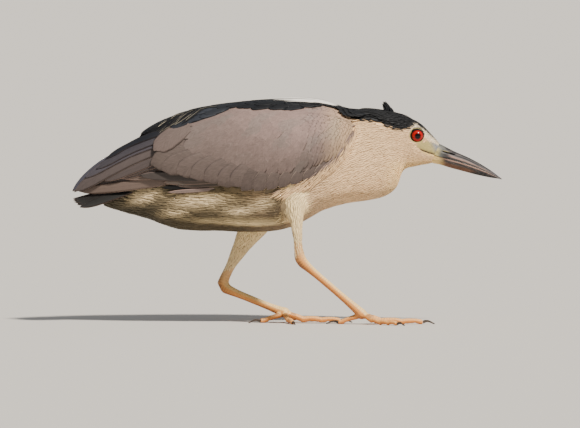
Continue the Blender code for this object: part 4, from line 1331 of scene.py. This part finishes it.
lidSpec = {
    "centre": (131.6, 191.6),
    # the opening's reach from its centre, by turn in degrees from the front and upwards
    "rim": ((-22, 6.3), (5, 6.2), (54, 6.9), (94, 6.95), (129, 6.95), (182, 6.2), (228, 6.15), (266, 6.9), (306, 6.35),
            (338, 6.3), (365, 6.2), (414, 6.9)),
    "axis": (0.11, 0.99, -0.065),
    "pupil": 2.75,
    "iris": 5.75,
    "cornea": 0.5,
    "drop": 0.4,  # how far the ball sits under the socket's centre
    "flat": 0.85,
    # parts round the tube, reach past the rim, tube's radius, how far it stands out
    "lids": (12, -0.2, 0.48, 0.1),
    "lid_rings": (10, 0.45, 0.5, -0.1),
}


def eyeball(side, hand):
    bm = bmesh.new()
    bmesh.ops.create_uvsphere(bm, u_segments=eyeSpec["around"], v_segments=eyeSpec["along"],
                              radius=eyeSpec["radius"] * mm)
    bmesh.ops.rotate(bm, cent=(0, 0, 0), matrix=Matrix.Rotation(-side * math.pi / 2, 3, "X"), verts=bm.verts)
    piece = smoothShade(asObject("eyeball_" + hand, bm))
    spots = spotsOf(piece.data)
    axis = np.array(lidSpec["axis"]) * (1, side, 1)
    ahead = spots @ axis
    gone = np.sqrt(np.maximum((spots**2).sum(1) - ahead**2, 0))
    bulge = np.clip(1 - (gone / lidSpec["iris"]) ** 2, 0, 1) ** 1.5 * lidSpec["cornea"] * (ahead > 0)
    spots = spots * (1, 1, 1.05) + axis * bulge[:, None]
    cx, cy, cz = eyeSpec["centre"]
    putSpots(piece.data, spots + (cx, side * cy, cz - lidSpec["drop"]))
    return piece


def eyeLook():
    look = Look("redEye", IOR=1.38, Specular_IOR_Level=0.2, Coat_Weight=0.35, Coat_Roughness=0.02)
    x, y, z = look.split(look.place())
    cx, cy, cz = eyeSpec["centre"]
    ax, ay, az = lidSpec["axis"]
    dx, dy, dz = x - cx, abs(y) - cy, z - cz + lidSpec["drop"]
    ahead = dx * ax + dy * ay + dz * az
    gone = (dx * dx + dy * dy + dz * dz - ahead * ahead).atLeast(0.0) ** 0.5
    fleck = look.noise(look.place(scale=(1, 0.4, 1)), 1.3, 4, 0.6)
    colour = look.stain(
        paint("5a0302"), (gone.ramp(2.7, 3.9), "b30904"), (gone.ramp(4.9, 5.75) * 0.6, "4a0201"),
        ((fleck - 0.35).atLeast(0.0) * 0.9, "3a0201"),
        (1 - gone.ramp(lidSpec["pupil"] - 0.12, lidSpec["pupil"] + 0.12), "020202"), (gone.ramp(5.65, 5.95), "080605"))
    return look.finish(Base_Color=colour, Roughness=0.25 + gone.ramp(5.6, 5.95) * 0.2)


def lidShape(side, offset, minor, out):
    def shape(s, v):
        turn, tube = 2 * np.pi * v, 2 * np.pi * s
        rim = curved(lidSpec["rim"], np.degrees(turn))[:, 0] + offset
        reach = rim + minor * np.cos(tube)
        deep = eyeSpec["centre"][1] + np.sqrt(np.maximum(eyeSpec["radius"] ** 2 - rim**2, 5.0)) + out
        y = side * (deep + lidSpec["flat"] * minor * np.sin(tube))
        cx, cz = lidSpec["centre"]
        return np.stack((cx + reach * np.cos(turn), y, cz + reach * np.sin(turn)), 1)

    return shape


eyeMaterial = eyeLook()
lidLook = Look("blackLids", Roughness=0.4).finish(Base_Color=(*tones["lid"], 1))
ringLook = Look("bareRing", Roughness=0.5).finish(Base_Color=(*paint("8d8350"), 1))
for side, hand in sides:
    dress(eyeball(side, hand), eyeMaterial, "eye_red", "eye_" + hand)
    for name, look, slot in (("lids", lidLook, "black_feather"), ("lid_rings", ringLook, "cream_feather")):
        across, *shape = lidSpec[name]
        dress(sheet(name + "_" + hand, across, 64, lidShape(side, *shape)), look, slot)

legSpec = {
    "voxel": 0.6,
    "path": {-1: ((10.5, -38, 92), (11.6, -36.5, 78), (13.5, -35, 66.5), (20, -33.6, 59.5), (31, -31.2, 50),
                  (54, -26.2, 30), (70, -22.8, 16), (76, -21.5, 10.4)),
             1: ((-45, 41, 80), (-56, 41.5, 60.5), (-62.5, 40.5, 48), (-66.2, 39, 36.8), (-58, 36, 31.6),
                 (-46, 31.6, 26.8), (-22, 22.4, 17.4), (-9, 17.4, 12.4), (-2.5, 14.5, 10.2))},
    "ankle": {-1: (14, -35, 64), 1: (-65.5, 38.6, 37)},
    "shank": {-1: (62, 76), 1: (34, 50)},  # where the paler shank begins
    "sunk": {-1: (76, 90), 1: (46, 60)},  # where the leg draws in under the thigh's feathers
    "coat": {-1: (68, 98), 1: (50, 84)},  # between which heights the last feathers grow
    "settle": (6, 110),
    "ankleReach": 18,
    "scute": 2.7,
    "relief": 0.16,
    "pad": 9.5,
    "feather": (5.5, 0.9, 0.25),  # length, width and rise
}
toes = ("hind", "inner", "middle", "outer")
# top is painted light on upward faces and under is painted shade on downward faces
legTones = palette(shank="e9bd84", top="ffdb94", side="e99c4a", under="b3621f", toe="e8923f", rear="5a3219",
                   groove="74461f")


def nearest(best, allowed, *found):  # keeps whichever measures lie nearer; the first measure is the gap
    return np.where((found[0] < best[0]) & allowed, np.stack(np.broadcast_arrays(*found)), best)


def legMeasures(spots, slopes, side, hand):  # millimetres down the leg or toe, how far it faces the front, toe or not
    best = np.zeros((4, len(spots)))
    best[0] = 1e9
    path = np.array(legSpec["path"][side], float)
    gone = 0.0
    for a, run in zip(path[:-1], np.diff(path, axis=0)):
        long = np.linalg.norm(run)
        way = run / long
        t = np.clip((spots - a) @ way, 0, long)
        off = np.linalg.norm(spots - a - t[:, None] * way, axis=1)
        ahead = np.array((1, 0, 0.8)) - way * (way @ (1, 0, 0.8))
        best = nearest(best, True, off, gone + t, slopes @ (ahead / np.linalg.norm(ahead)), 0.0)
        gone += long
    for name in toes:
        body = spotsOf(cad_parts["toe_" + hand + "_" + name].data)
        middle = body.mean(0)
        way = np.linalg.svd(body - middle, full_matrices=False)[2][0]
        way = way * np.sign(way @ (middle - path[-1]))
        reach = (body - middle) @ way
        t = np.clip((spots - middle) @ way, reach.min(), reach.max())
        off = np.linalg.norm(spots - middle - t[:, None] * way, axis=1) - 1.2
        best = nearest(best, (spots - path[-1]) @ way > 3, off, t - reach.min(), slopes[:, 2], 1.0)
    return best[1:]


def makeLeg(side, hand):
    names = ["shank_" + hand, "tarsus_" + hand] + ["toe_" + hand + "_" + name for name in toes]
    leg = voxels("leg_" + hand, nodeCopies(names), legSpec["voxel"])
    mesh = leg.data
    first, more = legSpec["settle"]
    spots = relax(spotsOf(mesh), edgesOf(mesh), first)
    ankle = np.array(legSpec["ankle"][side])
    firm = 1 - near(np.linalg.norm(spots - ankle, axis=1), 0, legSpec["ankleReach"])
    spots = relax(spots, edgesOf(mesh), more, hold=firm)
    putSpots(mesh, spots)
    slopes = normalsOf(mesh)
    far, front, toe = legMeasures(spots, slopes, side, hand)
    rear = near(np.linalg.norm(spots - ankle, axis=1), 3, 9) * soft(-front, -0.2, 0.5) * (1 - toe)
    ridge = np.abs(np.sin(np.pi * far / legSpec["scute"])) ** 0.5
    facing = np.maximum(soft(front, 0.0, 0.55), rear)
    relief = legSpec["relief"] * (1 + 0.6 * toe + rear) * (ridge - 0.8) * facing
    pads = -0.45 * near(np.mod(far, legSpec["pad"]) - 4.7, 0, 1.2) * soft(-front, 0.1, 0.7) * toe
    rim = -1.3 * soft(spots[:, 2], *legSpec["sunk"][side])
    putSpots(mesh, spots + slopes * (relief + pads + rim)[:, None])
    up = slopes[:, 2]
    # painted light and shade: lighter where the leg faces up, darker brown where it faces down
    paintSpots(mesh, wash(
        legTones["side"], legTones, ("top", soft(up + 0.3 * front, -0.1, 0.8)), ("under", soft(-up, 0.1, 0.8)),
        ("toe", toe * 0.6), ("shank", soft(spots[:, 2], *legSpec["shank"][side]) * 0.85),
        ("rear", rear * (0.4 + 0.6 * (1 - ridge))), ("groove", facing * (1 - ridge) ** 2 * 0.55)))
    return smoothShade(leg), names


def legLook():
    look = Look("legSkin", Roughness=0.5)
    spot = look.place()
    cells = look.add("ShaderNodeTexVoronoi", {"feature": "DISTANCE_TO_EDGE"}, spot, Scale=0.75)
    fine = look.noise(spot, 0.9, 4)
    colour = look.stain(look.attribute("tone"), ((1 - cells.ramp(0.02, 0.2)) * 0.28, "7a4f28"),
                        (fine.ramp(0.52, 0.72) * 0.25, "b9793d"))
    return look.finish(Base_Color=colour, Normal=look.bump(cells.ramp(0.0, 0.25) + fine * 0.3, 0.45, 0.2))


def legFeathers(side, hand, legGround):  # the last small feathers, thinning out down the shank
    bottom, top = legSpec["coat"][side]
    path = np.array(legSpec["path"][side], float)
    way = unit(path[1] - path[0])

    def gap(spots):
        return 1.5 + 1.6 * soft(top - spots[:, 2], 6, top - bottom)

    def here(spots):
        return (spots[:, 2] > bottom + 6 + 5 * ripple(spots, 9, 40)) & (spots[:, 2] < top)

    roots = legGround.scatter(chance, gap, here)
    tone = np.tile(tones["thigh"], (len(roots), 1)) * chance.uniform(0.92, 1.06, (len(roots), 1))
    length, width, lift = legSpec["feather"]
    sizes = (length * chance.uniform(0.7, 1.2, len(roots)), width, lift, 0.0)
    piece = feathers("leg_wisps_" + hand, legGround, roots, sizes, tone, chance, base=0.06,
                     lie=lambda spots: np.broadcast_to(way, spots.shape), camber=0.05, stray=0.1, tuck=0.8, **wispy)
    dress(piece, wispLook, "cream_feather")


legMaterial = legLook()
for side, hand in sides:
    leg, names = makeLeg(side, hand)
    dress(leg, legMaterial, "leg_scale", *names)
    legFeathers(side, hand, Ground(leg.data))


def clawLook():
    look = Look("clawHorn", Roughness=0.3)
    streak = look.noise(look.place(scale=(0.4, 0.4, 1.2)), 1.2, 3)
    return look.finish(Base_Color=look.stain(paint("2a211b"), (streak.ramp(0.4, 0.65) * 0.5, "6e5f52")))


clawMaterial = clawLook()
for name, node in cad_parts.items():
    if name.startswith("claw_"):
        for place in node.material_slots:
            place.material = clawMaterial

# The white plumes of the nape, two bundles. Each strand: where it starts and ends along the back, how far out it lies,
# its width.
plumeStrands = {"near": ((60, -16, -15.0, 3.0), (56, -6, -18.0, 2.2), (64, -22, -6.4, 1.8), (36, -4, -21.0, 1.5)),
                "far": ((60, -8, 8.0, 2.4), (56, 0, 9.6, 1.9), (62, -14, 6.4, 1.6), (34, 0, 15.0, 1.4))}
plumeSpec = {"rows": 26, "high": 2.5, "arch": 0.9}
whiteLook = featherLook("whitePlumes", barbs=0.0, shaft=0.1, mottle=0.04, bump=0.15)


def strands(name, roots, length, width, tone, spines, loose, **settings):  # narrow feathers that hang free
    return feathers(name, Open(), roots, (length, width, 0.0, 0.0), np.tile(tones[tone], (len(roots), 1)), loose,
                    spines=spines, base=0.0, free=True, **wispy, **settings)


def plumes(which):
    first, last, aside, width = columnsOf(plumeStrands[which])

    def spines(shares):
        x = first[:, None] + (last - first)[:, None] * shares
        y = aside[:, None] * (1 + 0.25 * np.sin(shares * 2.6))
        on, slopes = coverGround.settle(np.stack((x, y, 0 * x + 245), -1))
        spine = on + slopes * (plumeSpec["high"] + plumeSpec["arch"] * np.sin(np.pi * shares))[..., None]
        tilts = np.broadcast_to(unit(np.array([0.0, np.sign(aside[0]) * 0.8, 0.6])), spine.shape)
        return spine, runOf(spine), square(tilts, runOf(spine))

    roots = np.stack((first, aside, 0 * first + 220), 1)
    piece = strands("plume_" + which, roots, first - last, width, "white", spines, np.random.default_rng(len(which)),
                    rows=plumeSpec["rows"], camber=0.2)
    dress(piece, whiteLook, "white_feather", "nape_plume_" + which)


for which in plumeStrands:
    plumes(which)

tuftSpec = {"many": 34, "middle": 104, "aside": (4.5, 3.2), "root": 213.0, "tip": 99.8, "top": 228.4, "width": 2.6,
            "bow": 1.4}


def crownTuft():
    loose = np.random.default_rng(21)
    many, middle = tuftSpec["many"], tuftSpec["middle"]
    wideX, wideY = tuftSpec["aside"]
    roots = np.stack((middle + loose.uniform(-wideX, wideX, many), loose.uniform(-wideY, wideY, many),
                      np.full(many, tuftSpec["root"])), 1)
    tips = np.stack((tuftSpec["tip"] + (roots[:, 0] - middle) * 0.75 + loose.normal(0, 0.6, many), roots[:, 1] * 1.1,
                     tuftSpec["top"] - np.abs(roots[:, 0] - 103) * 1.1 - loose.uniform(0, 3.0, many)), 1)

    def spines(shares):
        spine = roots[:, None] + (tips - roots)[:, None] * shares[..., None]
        spine = spine + np.array([tuftSpec["bow"], 0, 0]) * (4 * shares * (1 - shares))[..., None]
        tilts = np.broadcast_to(np.array([0.0, -1.0, 0.0]), spine.shape)
        return spine, runOf(spine), square(tilts, runOf(spine))

    length = np.linalg.norm(tips - roots, axis=1)
    piece = strands("crown_tuft", roots, length, tuftSpec["width"], "crown", spines, loose, rows=8, camber=0.25)
    dress(piece, blackLook, "black_feather", "crest")


crownTuft()


def writeSizes():
    boxes = {"cad": cadBox, "visual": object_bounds()}
    lists = {name: [list(corner) for corner in box] for name, box in boxes.items()}
    print("box", [[round(v * 1000, 1) for v in corner] for corner in lists["visual"]])


writeSizes()
